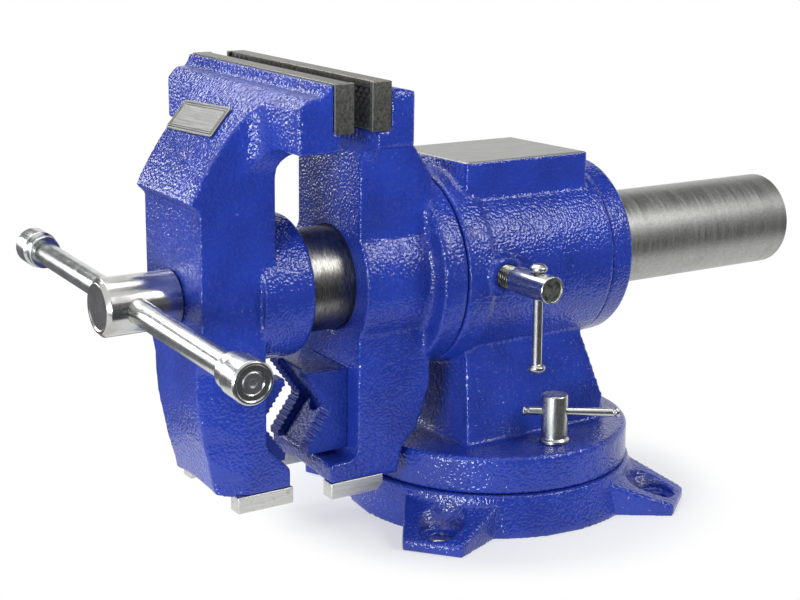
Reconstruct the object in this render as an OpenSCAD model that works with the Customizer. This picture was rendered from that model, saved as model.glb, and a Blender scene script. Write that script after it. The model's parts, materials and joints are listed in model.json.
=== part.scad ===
// Multipurpose swivel vise: a rotating jaw head on a swivel base, with flat jaws,
// pipe jaws, leg blocks and an anvil. Millimetres, +Z up, the origin on the swivel
// axis at the bench, +X along the slide tube towards its tail.

/* [Stance] */
// Height of the slide tube's axis above the bench
axis_height = 113.6; // [112:0.2:130]
// Roll of the jaw head about the tube as it stands
head_roll = 1.5; // [-5:0.5:5]
// Turn of the base plate under the swivel body as it stands
base_turn = -6.5; // [-20:0.5:20]
// Turn of the handle bar from level
handle_turn = 1.2; // [-10:0.2:10]
// Gap between the jaw plates as they stand
jaw_gap = 8; // [4:0.5:60]

/* [Flat jaws] */
// Width of the jaws
jaw_width = 125; // [110:1:150]
// Height of the jaw plates' top above the tube axis
jaw_rise = 92.5; // [88:0.5:98]
// Depth of the fixed jaw's legs, from the base's edge to the plate seat
leg_depth = 30.7; // [28:0.1:40]
// Height of a jaw plate
plate_height = 19.4; // [16:0.1:24]
// Thickness of a jaw plate
plate_thickness = 8.8; // [8:0.2:12]
// Spacing of the grip grooves on the jaw plates
grip_pitch = 4; // [2:0.1:5]
// Depth of the grip grooves
grip_depth = 1.2; // [0.4:0.1:1.6]
// Spacing of the two screws in a jaw plate
plate_screw_spacing = 75; // [60:1:85]
// Thread diameter of the jaw plate screws
plate_screw_d = 7; // [5:0.5:8]

/* [Jaw castings] */
// Width of both jaw castings below the wings
body_width = 54; // [50:1:60]
// Height of the wings that back the jaw plates
wing_height = 27; // [24:0.5:28]
// Radius of the gusset under each wing
gusset_r = 15; // [8:1:18]
// Radius of the cove between the front jaw's wings and its flanks
cove_r = 10; // [5:0.5:12]
// Depth of the front jaw's wings behind its plate
front_wing_depth = 14.3; // [12:0.5:18]
// Depth of the fixed jaw's wings behind its plate
fixed_wing_depth = 11.9; // [8:0.1:13]
// Depth of the front jaw's nose ahead of its plate seat
nose_depth = 40; // [38:0.5:48]
// How far the slanted face stands ahead of the nose
brow_overhang = 3.8; // [2:0.2:6]
// Bow of the slanted face from a flat one
brow_bow = 3; // [0:0.2:4]
// Half width of the nose where the casting ends below
nose_tip_half = 18; // [15:0.5:20]
// Depth of the legs below the tube axis
leg_drop = 85; // [83:0.2:88]
// Radius of the throat below the front jaw's wings
throat_r = 9; // [6:0.5:9]

/* [Pipe jaws and leg blocks] */
// Width of a pipe jaw
pipe_jaw_width = 35; // [30:1:38]
// Width of each toothed band on a pipe jaw
pipe_band_width = 8; // [5:0.5:10]
// Height of a pipe jaw
pipe_jaw_height = 36.5; // [32:0.5:37]
// Drop of the pipe jaws' middle below the tube axis
pipe_jaw_drop = 55.2; // [55:0.1:56]
// Depth of the vee in a pipe jaw
vee_depth = 12; // [8:0.2:14]
// Metal behind the vee of a pipe jaw
vee_backing = 7.6; // [7:0.1:9]
// Spacing of the pipe jaw teeth
tooth_pitch = 2.6; // [2:0.1:4]
// Height of the pipe jaw teeth
tooth_height = 1.2; // [0.6:0.1:1.6]
// Length of a leg block along the tube
block_length = 26; // [22:0.5:28]
// Width of a leg block
block_width = 7.5; // [6:0.5:9]
// Height of a leg block
block_height = 7.1; // [6:0.1:8]

/* [Slide and spindle] */
// Diameter of the spindle's threaded shaft
spindle_d = 18; // [16:0.5:20]
// Space between the spindle and the slide tube's wall, on each side
spindle_space = 8; // [7:0.1:9]
// Wall of the slide tube
tube_wall = 5.7; // [5:0.1:7]
// Distance of the tube's tail end from the swivel axis
tube_tail = 169.9; // [160:1:200]
// Width of the keyway along the tube's underside
keyway_w = 10; // [8:0.5:12]
// Step from the spindle up to its head, on each side
spindle_head_step = 3.1; // [2:0.1:5]
// Length of the spindle's head
spindle_head_length = 33; // [28:0.5:36]
// Diameter of the handle bar
bar_d = 10.4; // [9:0.2:12]
// Length of the handle bar over its knobs
bar_length = 221; // [200:1:240]
// Diameter of the handle knobs
knob_d = 16.6; // [15:0.2:20]
// Length of a handle knob
knob_length = 16.5; // [12:0.5:20]

/* [Barrel and head shank] */
// Outside diameter of the barrel
barrel_d = 86.4; // [84:0.2:90]
// Distance of the barrel's front face from the swivel axis
barrel_front = 43.5; // [42:0.5:50]
// Distance of the barrel's rear face from the swivel axis
barrel_rear = 37.5; // [36:0.5:46]
// Wall of the head's shank, which turns inside the barrel
shank_wall = 8.2; // [7:0.1:9]
// Diameter of the head's flange at the barrel's front
flange_d = 88; // [86:0.5:92]
// Thickness of the head's flange
flange_thickness = 12; // [10:0.5:13]
// Diameter of the round boss behind the fixed jaw's face
head_boss_d = 68; // [64:0.5:72]
// Thickness of the retaining ring behind the barrel
ring_thickness = 12.2; // [10:0.2:16]
// Outside diameter of the retaining ring
ring_d = 84.6; // [82:0.2:88]
// Height of the anvil's top above the tube axis
anvil_rise = 49.2; // [48:0.2:54]
// Width of the anvil
anvil_width = 57.6; // [54:0.2:62]
// Distance of the anvil's front edge from the swivel axis
anvil_front = 35; // [32:0.5:38]
// Distance of the anvil's rear edge from the swivel axis
anvil_rear = 31.4; // [28:0.2:35]

/* [Pedestal and swivel base] */
// Diameter of the swivel disc
disc_d = 128.8; // [127:0.2:130]
// Thickness of the swivel disc
disc_thickness = 16.9; // [15:0.2:18]
// Height of the base plate
base_height = 18.7; // [18:0.1:20]
// Diameter of the base plate at the bench
foot_d = 138.6; // [136:0.2:142]
// Width of the pedestal at the disc
pedestal_width = 70; // [66:1:72]
// Width of the pedestal at the barrel
neck_width = 53; // [50:1:56]
// Reach of the pedestal's foot ahead of the swivel axis
pedestal_front = 37.5; // [35:0.5:40]
// Reach of the pedestal's foot behind the swivel axis
pedestal_rear = 45.5; // [42:0.5:48]
// Diameter of the circle of bench bolt holes
bolt_circle_d = 160; // [156:1:164]
// Diameter of each bench bolt hole
bolt_hole_d = 10; // [9:0.5:11]
// Distance of the lugs' tips from the swivel axis
lug_reach = 91; // [90:0.5:96]
// Width of a lug at its tip
lug_tip_width = 27; // [24:0.5:30]
// Thickness of a lug at its tip
lug_tip_height = 4.8; // [4.4:0.1:7]

/* [Lock screws] */
// Diameter of the lock screws' heads
lock_head_d = 11.8; // [11:0.1:13]
// Thread diameter of the head lock screw
head_lock_d = 10; // [8:0.5:11]
// Distance of the head lock screw ahead of the swivel axis
head_lock_reach = 26; // [22:0.5:28]
// Distance of the head lock screw's end from the tube axis
head_lock_end = 78.5; // [74:0.5:84]
// Diameter of the head lock's cross bar
head_lock_bar_d = 5; // [4:0.2:6]
// Thread diameter of the base lock screws
base_lock_d = 8; // [7:0.5:9]
// Distance of the base lock screws from the disc's edge
base_lock_inset = 15.4; // [14.6:0.1:16]
// Height of the base lock screws above the disc
base_lock_rise = 22.4; // [20:0.2:26]
// Diameter of the base lock's cross bars
base_lock_bar_d = 3.9; // [3:0.1:4.5]
// Angle of the base lock's cross bars from the tube
base_lock_turn = -36; // [-60:1:-20]

/* [Hidden] */
$fn = 96;

// Fits: one running clearance round turning and sliding pieces, one seam gap
// between castings that turn on each other, the legs' clearance from the base's
// disc, one fixed fit, one overrun for cuts
running_clearance = 0.1;
seam_gap = 0.3;
leg_clearance = 1;
fixed_fit = 0.05;
overrun = 2;
// Edge roundings, from a machined edge to a cast one
fine_edge = 0.5;
edge_r = 1;
soft_edge_r = 2;
cast_edge_r = 3;

// Colours
paint = "#2b3fa6";
ground_steel = "#a3a39e";
plated_steel = "#cfd2d4";
dark_steel = "#4f524e";
bright_steel = "#c6c7c4";
brass = "#b0924a";

// Unit vector, and a rounded corner of an outline as points on its arc
arc_steps = 8;
function unit(v) = v / norm(v);
function corner(a, b, c, r) =
    r == 0 ? [b] :
    let (u = unit(a - b), v = unit(c - b), half = acos(u * v) / 2,
         centre = b + unit(u + v) * r / sin(half),
         p = b + u * r / tan(half) - centre, q = b + v * r / tan(half) - centre,
         a0 = atan2(p.y, p.x), sweep = (atan2(q.y, q.x) - a0 + 540) % 360 - 180)
    [for (k = [0:arc_steps]) centre + r * [cos(a0 + sweep * k / arc_steps),
                                           sin(a0 + sweep * k / arc_steps)]];
function xy(p) = [p[0], p[1]];
// An outline from points [x, y, corner radius]
function rounded(pts) = [for (i = [0:len(pts) - 1])
    each corner(xy(pts[(i + len(pts) - 1) % len(pts)]), xy(pts[i]),
                xy(pts[(i + 1) % len(pts)]), pts[i][2])];
function mirrored(pts) = concat(pts, [for (i = [len(pts) - 1:-1:0])
    [-pts[i][0], pts[i][1], pts[i][2]]]);

// Side outline [x, z] drawn out across the tube, front outline [y, z] drawn out
// along it from x0 to x1, and a round profile [radius, x] turned about it
module across(width) rotate([90, 0, 0]) linear_extrude(width, center = true) children();
module along(x0, x1) translate([x0, 0, 0]) rotate([90, 0, 90]) linear_extrude(x1 - x0) children();
module turned() rotate([0, 90, 0]) rotate_extrude() children();
module rod(d, x0, x1) translate([x0, 0, 0]) rotate([0, 90, 0]) cylinder(d = d, h = x1 - x0);
module cross_rod(d, y0, y1) translate([0, y1, 0]) rotate([90, 0, 0]) cylinder(d = d, h = y1 - y0);
// Places: the jaw head's frame has its origin on the tube axis
module head() translate([0, 0, axis_height]) rotate([head_roll, 0, 0]) children();
module barrel() translate([0, 0, axis_height]) children();

// Countersunk screw along +Z with its top at z = 0, and the hole that takes it
screw_socket_share = 0.6;
screw_head_share = 1.75;
module flat_screw(d, length) {
    head_d = d * screw_head_share;
    cone = (head_d - d) / 2;
    difference() {
        union() {
            translate([0, 0, -cone]) cylinder(d1 = d, d2 = head_d, h = cone);
            translate([0, 0, -length]) cylinder(d = d, h = length - cone + fixed_fit);
        }
        translate([0, 0, -cone]) cylinder(d = d * screw_socket_share, h = cone + overrun, $fn = 6);
    }
}
module flat_screw_hole(d, length) {
    head_d = d * screw_head_share + 2 * fixed_fit;
    bore_d = d + 2 * fixed_fit;
    cone = (head_d - bore_d) / 2;
    translate([0, 0, -cone]) cylinder(d1 = bore_d, d2 = head_d, h = cone);
    cylinder(d = head_d, h = overrun);
    translate([0, 0, -length - fixed_fit]) cylinder(d = bore_d, h = length);
}

// Levels and stations along the tube
seat_reach = disc_d / 2 + leg_clearance + leg_depth;
fixed_seat_x = -seat_reach;
front_seat_x = -(seat_reach + 2 * plate_thickness + jaw_gap);
plate_bottom = jaw_rise - plate_height;
wing_bottom = jaw_rise - wing_height;
half_body = body_width / 2;
half_jaw = jaw_width / 2;
tube_inner_d = spindle_d + 2 * spindle_space;
tube_d = tube_inner_d + 2 * tube_wall;
tube_bore_d = tube_d + 2 * running_clearance;
shank_d = tube_bore_d + 2 * shank_wall;
barrel_bore_d = shank_d + 2 * running_clearance;
spindle_head_d = spindle_d + 2 * spindle_head_step;
base_lock_reach = disc_d / 2 - base_lock_inset;
disc_bottom = base_height + seam_gap;
disc_top = disc_bottom + disc_thickness;

// Front and plan outlines that both jaw castings share
wing_corner_r = 3;
wing_taper = 3.5;
wing_root_r = 5;
fixed_top_corner_r = 5;
module jaw_front_outline(bottom, top, top_r) polygon(rounded(mirrored([
    [half_body, bottom, 0], [half_body, wing_bottom, gusset_r],
    [half_jaw, wing_bottom, wing_corner_r], [half_jaw, top, top_r]])));
module jaw_plan_outline(seat, back, far, taper, root_r) {
    sign = back > seat ? 1 : -1;
    half = [[seat - sign * plate_thickness, half_jaw, 0],
            [seat, half_jaw, 0],
            [back, half_jaw - taper, wing_corner_r],
            [back, half_body, root_r],
            [far, half_body, 0]];
    polygon(rounded(concat(half, [for (i = [len(half) - 1:-1:0])
        [half[i][0], -half[i][1], half[i][2]]])));
}

// Front jaw casting: stations ahead of its plate seat, and levels from the axis
ridge_depth = 4.3;
ridge_drop = 5.2;
ridge_top_depth = 1.4;
ridge_top_drop = 0.3;
ledge_depth = 8.8;
brow_drop_share = 0.47;
brow_z = jaw_rise * brow_drop_share;
chin_z = brow_z - brow_overhang;
brow_top = [front_seat_x - ledge_depth, jaw_rise - ridge_drop];
brow_foot = [front_seat_x - nose_depth - brow_overhang, brow_z];
brow_steps = 12;
front_shelf = 2.7;
throat_depth = 6.5;
throat_drop = 3.5;
throat_top = wing_bottom - throat_drop;
inner_depth = 11.1;
nose_shares = [[1, 0.05], [1, -0.42], [0.985, -0.51], [0.923, -0.687], [0.823, -0.894]];
nose_foot_share = 0.747;
nose_foot_r = 1.5;
nose_foot_drop = 6;
nose_heel_drop = 3.6;
// Shares of the half width at the nose, each with its share of the leg's drop
nose_half_shares = [[1, 0], [1, -0.12], [0.752, -0.33], [0.745, -0.52], [0.685, -0.687],
    [0.54, -0.894]];
nose_flank_share = 0.5;
front_leg_heel = 1;
front_foot_rise = 8.2;
front_foot_r = 4;
front_leg_rise = 19.5;
front_leg_r = 5;
front_leg_lift = 2.8;
front_leg_drop = leg_drop - front_leg_lift;
front_block_x0 = front_seat_x + front_leg_heel - block_length;
boss_d = 62;
boss_overhang = 11;
nose_wall = 14;
front_bore_end = front_seat_x - nose_depth + nose_wall;

// Points on the bowed line from a to b, at a distance bow from its chord
function bowed(a, b, bow, steps) =
    let (u = unit(b - a), out = [u.y, -u.x] * (u.y > 0 ? 1 : -1) * sign(u.x * u.y))
    [for (k = [0:steps]) let (t = k / steps) a + (b - a) * t - out * bow * (1 - pow(2 * t - 1, 2))];
function front_side_points() = let (s = front_seat_x, n = nose_depth, d = front_leg_drop,
    brow = bowed(brow_top, brow_foot, brow_bow, brow_steps)) [
    [s, jaw_rise - ridge_top_drop, 0],
    [s - ridge_top_depth, jaw_rise - ridge_top_drop, fine_edge],
    [s - ridge_depth, jaw_rise - ridge_drop, edge_r],
    [brow[0].x, brow[0].y, edge_r],
    for (k = [1:brow_steps - 1]) [brow[k].x, brow[k].y, 0],
    [brow[brow_steps].x, brow[brow_steps].y, edge_r],
    [s - n, chin_z, edge_r],
    for (q = nose_shares) [s - n * q[0], q[1] * leg_drop, 0],
    [s - n * nose_foot_share, -d - nose_foot_drop, nose_foot_r],
    [front_block_x0, -d - nose_heel_drop, 0],
    [front_block_x0, -d, 0],
    [s, -d, 0],
    [s, -d + front_foot_rise, front_foot_r],
    [s - inner_depth, -d + front_leg_rise, front_leg_r],
    [s - inner_depth, 0, 0],
    [s - throat_depth, 0, 0],
    [s - throat_depth, throat_top, throat_r],
    [s + front_shelf, throat_top, 0],
    [s + front_shelf, plate_bottom, 0],
    [s, plate_bottom, 0]];

// The keel: the casting narrows towards its nose below the tube
module nose_slice(z, front_half) {
    s = front_seat_x;
    n = nose_depth;
    x1 = s - n * nose_flank_share;
    x2 = s - n - brow_overhang - overrun;
    half = [[s + plate_thickness, half_body], [x1, half_body],
            [x2, half_body - (half_body - front_half) * (x1 - x2) / (x1 - s + n)]];
    translate([0, 0, z]) linear_extrude(fine_edge)
        polygon(concat(half, [for (i = [len(half) - 1:-1:0]) [half[i].x, -half[i].y]]));
}
module keel() {
    tip = (nose_foot_share - nose_flank_share) / (1 - nose_flank_share);
    levels = [[half_body, chin_z - brow_overhang],
              for (q = nose_half_shares) [q[0] * half_body, q[1] * leg_drop],
              [half_body - (half_body - nose_tip_half) / tip, -leg_drop - nose_foot_drop]];
    for (k = [1:len(levels) - 1]) hull() {
        nose_slice(levels[k - 1][1], levels[k - 1][0]);
        nose_slice(levels[k][1], levels[k][0]);
    }
}
leg_arch_rise = 1.5;
module leg_arch(x0, x1) {
    // The shallow arch under a casting, between its two leg blocks
    inner = half_body - block_width;
    arch_r = (inner * inner + leg_arch_rise * leg_arch_rise) / (2 * leg_arch_rise);
    translate([x0, 0, -leg_drop - (arch_r - leg_arch_rise)]) rotate([0, 90, 0])
        cylinder(r = arch_r, h = x1 - x0);
}
module front_leg_lifted() translate([0, 0, front_leg_lift]) children();
module front_jaw() color(paint) head() difference() {
    union() {
        intersection() {
            across(jaw_width) polygon(rounded(front_side_points()));
            along(front_seat_x - nose_depth - brow_overhang - overrun, front_seat_x + plate_thickness)
                jaw_front_outline(-front_leg_drop - nose_foot_drop, jaw_rise, 0);
            union() {
                translate([0, 0, chin_z - brow_overhang]) linear_extrude(jaw_rise)
                    jaw_plan_outline(front_seat_x, front_seat_x - front_wing_depth,
                                     front_seat_x - nose_depth - 2 * brow_overhang,
                                     wing_taper, cove_r);
                keel();
            }
        }
        turned() polygon(rounded([[0, front_seat_x - inner_depth - overrun, 0],
            [boss_d / 2, front_seat_x - inner_depth - overrun, 0],
            [boss_d / 2, front_seat_x + boss_overhang, cast_edge_r],
            [0, front_seat_x + boss_overhang, 0]]));
    }
    rod(tube_d + 2 * fixed_fit, front_bore_end, 0);
    rod(spindle_d + 2 * running_clearance, front_seat_x - nose_depth - 2 * overrun, 0);
    front_leg_lifted() leg_arch(front_seat_x - nose_depth, front_seat_x + 2 * plate_thickness);
    pipe_pocket();
    tube_pin_at() translate([0, 0, -overrun])
        cylinder(d = tube_pin_d + 2 * fixed_fit, h = tube_pin_length + 2 * overrun);
    plate_screws_at(front_seat_x, -1) flat_screw_hole(plate_screw_d, plate_screw_length);
    pipe_screw_at(front_pipe_back, -1) flat_screw_hole(pipe_screw_d, pipe_screw_length);
    front_leg_lifted() leg_screws_at(front_block_x0) flat_screw_hole(leg_screw_d, leg_screw_length);
}

// Fixed jaw casting, which is also the rotating head: face, boss, flange and shank
face_depth = 7.6;
face_x = fixed_seat_x + face_depth;
face_fillet_r = 8;
pocket_corner_r = 4;
fixed_shelf = 5.8;
fixed_shelf_drop = 2.6;
fixed_top_drop = 2.4;
fixed_top_fall = 2.5;
rear_rib = [16.6, 7.5];
rear_rib_r = 4;
flange_front = -(barrel_front + seam_gap + flange_thickness);
shoulder_depth = 3;
shoulder_x = flange_front + shoulder_depth;
shoulder_share = 0.5;
leg_waist = 3.7;
leg_level_shares = [0.275, 0.567, 0.793, 0.862];
leg_knee = -1.8;
leg_back_x = leg_depth - seat_reach;
leg_heel = [3.5, 3.3];
fixed_block_x0 = fixed_seat_x - fixed_shelf;
flange_fillet_r = 3;
ring_seat_step = 3;
ring_seat_d = shank_d - 2 * ring_seat_step;
shank_end = barrel_rear + seam_gap;
ring_seat_share = 0.85;
ring_seat_end = shank_end + ring_thickness * ring_seat_share;
function fixed_side_points() = let (s = fixed_seat_x, d = leg_drop, q = leg_level_shares) [
    [s, plate_bottom, 0],
    [s, jaw_rise - fixed_top_drop, 0],
    [s + fixed_wing_depth, jaw_rise - fixed_top_drop - fixed_top_fall, 0],
    [s + rear_rib.x, jaw_rise - rear_rib.y, rear_rib_r],
    [shoulder_x, shoulder_share * jaw_rise, rear_rib_r],
    [shoulder_x, 0, 0],
    [flange_front + leg_waist, -q[0] * d, 0],
    [flange_front + leg_waist, -q[1] * d, rear_rib_r],
    [(flange_front + leg_back_x) / 2 - leg_knee, -q[2] * d, 0],
    [leg_back_x, -q[3] * d, soft_edge_r],
    [leg_back_x - leg_heel.x, -d - leg_heel.y, soft_edge_r],
    [fixed_block_x0 + block_length, -d - leg_heel.y, 0],
    [fixed_block_x0 + block_length, -d, 0],
    [fixed_block_x0, -d, 0],
    [fixed_block_x0, pipe_pocket_bottom - fixed_shelf_drop, soft_edge_r],
    [face_x, pipe_pocket_bottom - fixed_shelf_drop, pocket_corner_r],
    [face_x, wing_bottom, face_fillet_r],
    [s - fixed_shelf, wing_bottom, edge_r],
    [s - fixed_shelf, plate_bottom, 0]];
module head_turning() {
    // Boss, flange, shank and ring seat as one turned form
    turned() polygon(rounded([
        [0, face_x, 0], [head_boss_d / 2, face_x, edge_r],
        [head_boss_d / 2, flange_front, flange_fillet_r],
        [flange_d / 2, flange_front, soft_edge_r],
        [flange_d / 2, -barrel_front - seam_gap, edge_r],
        [shank_d / 2, -barrel_front - seam_gap, 0],
        [shank_d / 2, shank_end, 0],
        [ring_seat_d / 2, shank_end, 0],
        [ring_seat_d / 2, ring_seat_end, edge_r],
        [0, ring_seat_end, 0]]));
}
module fixed_jaw() color(paint) head() difference() {
    union() {
        intersection() {
            across(jaw_width) polygon(rounded(fixed_side_points()));
            along(fixed_seat_x - plate_thickness, shoulder_x + flange_thickness)
                jaw_front_outline(-leg_drop - block_height, jaw_rise - fixed_top_drop, fixed_top_corner_r);
            translate([0, 0, -leg_drop - block_height]) linear_extrude(leg_drop + block_height + jaw_rise)
                jaw_plan_outline(fixed_seat_x, fixed_seat_x + fixed_wing_depth,
                                 shoulder_x + flange_thickness, 0, wing_root_r);
        }
        head_turning();
    }
    rod(tube_bore_d, -seat_reach, shank_end + ring_thickness + overrun);
    leg_arch(fixed_block_x0 - overrun, leg_back_x + overrun);
    fixed_pipe_pocket();
    nut_key(fixed_fit);
    nut_screw_at() flat_screw_hole(nut_screw_d, nut_screw_length);
    ring_grubs_at() cylinder(d = grub_d + 2 * fixed_fit, h = ring_d);
    plate_screws_at(fixed_seat_x, 1) flat_screw_hole(plate_screw_d, plate_screw_length);
    pipe_screw_at(face_x, 1) flat_screw_hole(pipe_screw_d, pipe_screw_length);
    leg_screws_at(fixed_block_x0) flat_screw_hole(leg_screw_d, leg_screw_length);
}

// Jaw plates, grooved down their gripping faces, and the two screws of each
plate_screw_length = 14.5;
plate_screw_sink = 1.2;
// Where the screws of a plate stand: side 1 has its casting towards +X
module plate_screws_at(seat, side) for (y = [-1, 1] * plate_screw_spacing / 2)
    translate([seat - side * (plate_thickness - grip_depth - plate_screw_sink), y,
               jaw_rise - plate_height / 2])
        rotate([0, -side * 90, 0]) children();
module jaw_plate(seat, side) color(dark_steel) head() difference() {
    grooves = floor(jaw_width / grip_pitch / 2) * 2;
    pitch = jaw_width / grooves;
    face = seat - side * plate_thickness;
    translate([0, 0, plate_bottom]) linear_extrude(plate_height) polygon(concat(
        [[seat, half_jaw], [seat, -half_jaw]],
        [for (k = [0:2 * grooves]) [face + side * (k % 2) * grip_depth,
                                    -half_jaw + k * pitch / 2]]));
    plate_screws_at(seat, side) {
        flat_screw_hole(plate_screw_d, plate_screw_length);
        cylinder(d = plate_screw_d * screw_head_share + 2 * fixed_fit, h = plate_thickness);
    }
}
module plate_screws(seat, side) color(dark_steel) head()
    plate_screws_at(seat, side) flat_screw(plate_screw_d, plate_screw_length);
module fixed_jaw_plate() jaw_plate(fixed_seat_x, 1);
module front_jaw_plate() jaw_plate(front_seat_x, -1);
module fixed_plate_screws() plate_screws(fixed_seat_x, 1);
module front_plate_screws() plate_screws(front_seat_x, -1);

// Pipe jaws: a vee between two toothed bands, hollowed in the middle
pipe_pocket_bottom = -pipe_jaw_drop - pipe_jaw_height / 2;
front_lip_reach = 2.4;
front_pipe_back = front_seat_x + front_lip_reach - vee_depth - vee_backing;
vee_lip = 1.5;
relief_depth = 2.4;
pipe_screw_d = 5;
pipe_screw_length = 10.5;
module pipe_pocket() translate([front_pipe_back, -pipe_jaw_width / 2 - fixed_fit,
                                pipe_pocket_bottom - fixed_fit])
    cube([nose_depth, pipe_jaw_width + 2 * fixed_fit, pipe_jaw_height + 2 * fixed_fit]);
module fixed_pipe_pocket() translate([face_x - pipe_jaw_width, -pipe_jaw_width / 2 - fixed_fit,
                                      pipe_pocket_bottom - fixed_fit])
    cube([pipe_jaw_width + fixed_fit, pipe_jaw_width + 2 * fixed_fit, pipe_jaw_height + 2 * fixed_fit]);
// One flank of the vee as saw teeth between two points of the jaw's side
function toothed(from, to, height) =
    let (steps = max(2, round(norm(to - from) / tooth_pitch)), run = (to - from) / steps,
         out = unit([-run.y, run.x]) * height)
    [for (k = [0:steps - 1]) each [from + run * k, from + run * (k + 1 / 2) + out]];
module pipe_jaw_outline(teeth) {
    half = pipe_jaw_height / 2;
    drop = teeth ? 0 : relief_depth;
    lip = vee_backing + vee_depth - drop;
    height = teeth ? tooth_height : 0;
    apex = [vee_backing - drop, 0];
    polygon(concat([[0, half], [0, -half], [lip, -half]],
        toothed([lip, -half + vee_lip], apex, -height),
        toothed(apex, [lip, half - vee_lip], height * -1), [[lip, half - vee_lip], [lip, half]]));
}
module pipe_jaw_at(back, side) translate([back, 0, -pipe_jaw_drop])
    rotate([0, 0, side > 0 ? 180 : 0]) children();
module pipe_screw_at(back, side) pipe_jaw_at(back, side)
    translate([vee_backing - relief_depth, 0, 0]) rotate([0, 90, 0]) children();
module pipe_jaw(back, side) color(paint) head() difference() {
    pipe_jaw_at(back, side) {
        across(pipe_jaw_width - 2 * pipe_band_width) pipe_jaw_outline(false);
        for (y = [-1, 1] * (pipe_jaw_width - pipe_band_width) / 2)
            translate([0, y, 0]) across(pipe_band_width) pipe_jaw_outline(true);
    }
    pipe_screw_at(back, side) {
        flat_screw_hole(pipe_screw_d, pipe_screw_length);
        cylinder(d = pipe_screw_d * screw_head_share + 2 * fixed_fit, h = vee_depth);
    }
}
module pipe_jaw_screw(back, side) color(dark_steel) head()
    pipe_screw_at(back, side) flat_screw(pipe_screw_d, pipe_screw_length);
module fixed_pipe_jaw() pipe_jaw(face_x, 1);
module front_pipe_jaw() pipe_jaw(front_pipe_back, -1);
module fixed_pipe_jaw_screw() pipe_jaw_screw(face_x, 1);
module front_pipe_jaw_screw() pipe_jaw_screw(front_pipe_back, -1);

// Leg blocks: ground steel strips under the legs, two screws in each
leg_screw_d = 4;
leg_screw_length = 12;
leg_screw_inset_share = 0.22;
block_edge = 0.5;
module leg_screws_at(x0) for (y = [-1, 1] * (half_body - block_width / 2),
                              t = [leg_screw_inset_share, 1 - leg_screw_inset_share])
    translate([x0 + t * block_length, y, -leg_drop - block_height]) rotate([180, 0, 0]) children();
module leg_blocks(x0, heel, lift) color(bright_steel) head() translate([0, 0, lift]) difference() {
    for (y = [-1, 1] * (half_body - block_width / 2)) translate([0, y, 0]) across(block_width)
        polygon([[x0, -leg_drop], [x0 + block_length, -leg_drop],
                 [x0 + block_length, -leg_drop - block_height + heel.y],
                 [x0 + block_length - heel.x, -leg_drop - block_height],
                 [x0, -leg_drop - block_height]]);
    leg_screws_at(x0) flat_screw_hole(leg_screw_d, leg_screw_length);
}
module leg_screws(x0, lift) color(dark_steel) head() translate([0, 0, lift]) leg_screws_at(x0)
    flat_screw(leg_screw_d, leg_screw_length);
fixed_heel_shares = [0.1, 0.4];
module fixed_leg_blocks() leg_blocks(fixed_block_x0,
    [fixed_heel_shares.x * block_length, fixed_heel_shares.y * block_height], 0);
module front_leg_blocks() leg_blocks(front_block_x0, [block_edge, block_edge], front_leg_lift);
module fixed_leg_screws() leg_screws(fixed_block_x0, 0);
module front_leg_screws() leg_screws(front_block_x0, front_leg_lift);

// Slide tube with its keyway, and the pin that holds it in the front jaw
jaw_opening = 125;
tube_pin_d = 8;
tube_pin_length = (boss_d - tube_inner_d) / 2 - edge_r;
tube_end_chamfer = 1;
module tube_pin_at() translate([front_seat_x, 0, -tube_inner_d / 2]) rotate([180, 0, 0]) children();
module slide_tube() color(ground_steel) head() difference() {
    turned() polygon([[tube_inner_d / 2, front_bore_end], [tube_d / 2, front_bore_end],
        [tube_d / 2, tube_tail - tube_end_chamfer], [tube_d / 2 - tube_end_chamfer, tube_tail],
        [tube_inner_d / 2, tube_tail]]);
    translate([nut_x0 - jaw_gap - overrun, -keyway_w / 2, -tube_d])
        cube([tube_tail, keyway_w, tube_d]);
    tube_pin_at() translate([0, 0, -overrun]) cylinder(d = tube_pin_d + 2 * fixed_fit, h = tube_d / 2);
}
module tube_pin() color(plated_steel) head() tube_pin_at() cylinder(d = tube_pin_d, h = tube_pin_length);

// Spindle nut: it stands in the tube on a key that passes down through the keyway
nut_x0 = -14;
nut_length = 34;
key_sink = 3.5;
nut_screw_d = 6;
nut_screw_length = 17;
key_bottom = -(tube_bore_d / 2 + key_sink);
// The key's top stands in the nut, half way between its bore and its outside
key_top = -(tube_inner_d + spindle_d) / 4;
module nut_key(grow) translate([nut_x0 - grow, -keyway_w / 2 + seam_gap - grow, key_bottom - grow])
    cube([nut_length + 2 * grow, keyway_w - 2 * seam_gap + 2 * grow, key_top - key_bottom]);
// The screw's head lies just below the shank's round surface
nut_screw_z = -sqrt(pow(shank_d, 2) - pow(nut_screw_d * screw_head_share, 2)) / 2 + running_clearance;
module nut_screw_at() translate([nut_x0 + nut_length / 2, 0, nut_screw_z]) rotate([180, 0, 0]) children();
module spindle_nut() color(plated_steel) head() difference() {
    union() {
        rod(tube_inner_d - 2 * seam_gap, nut_x0, nut_x0 + nut_length);
        nut_key(0);
    }
    rod(spindle_d + 2 * running_clearance, nut_x0 - overrun, nut_x0 + nut_length + overrun);
    nut_screw_at() flat_screw_hole(nut_screw_d, nut_screw_length);
}
module nut_screw() color(dark_steel) head() nut_screw_at() flat_screw(nut_screw_d, nut_screw_length);

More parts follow.
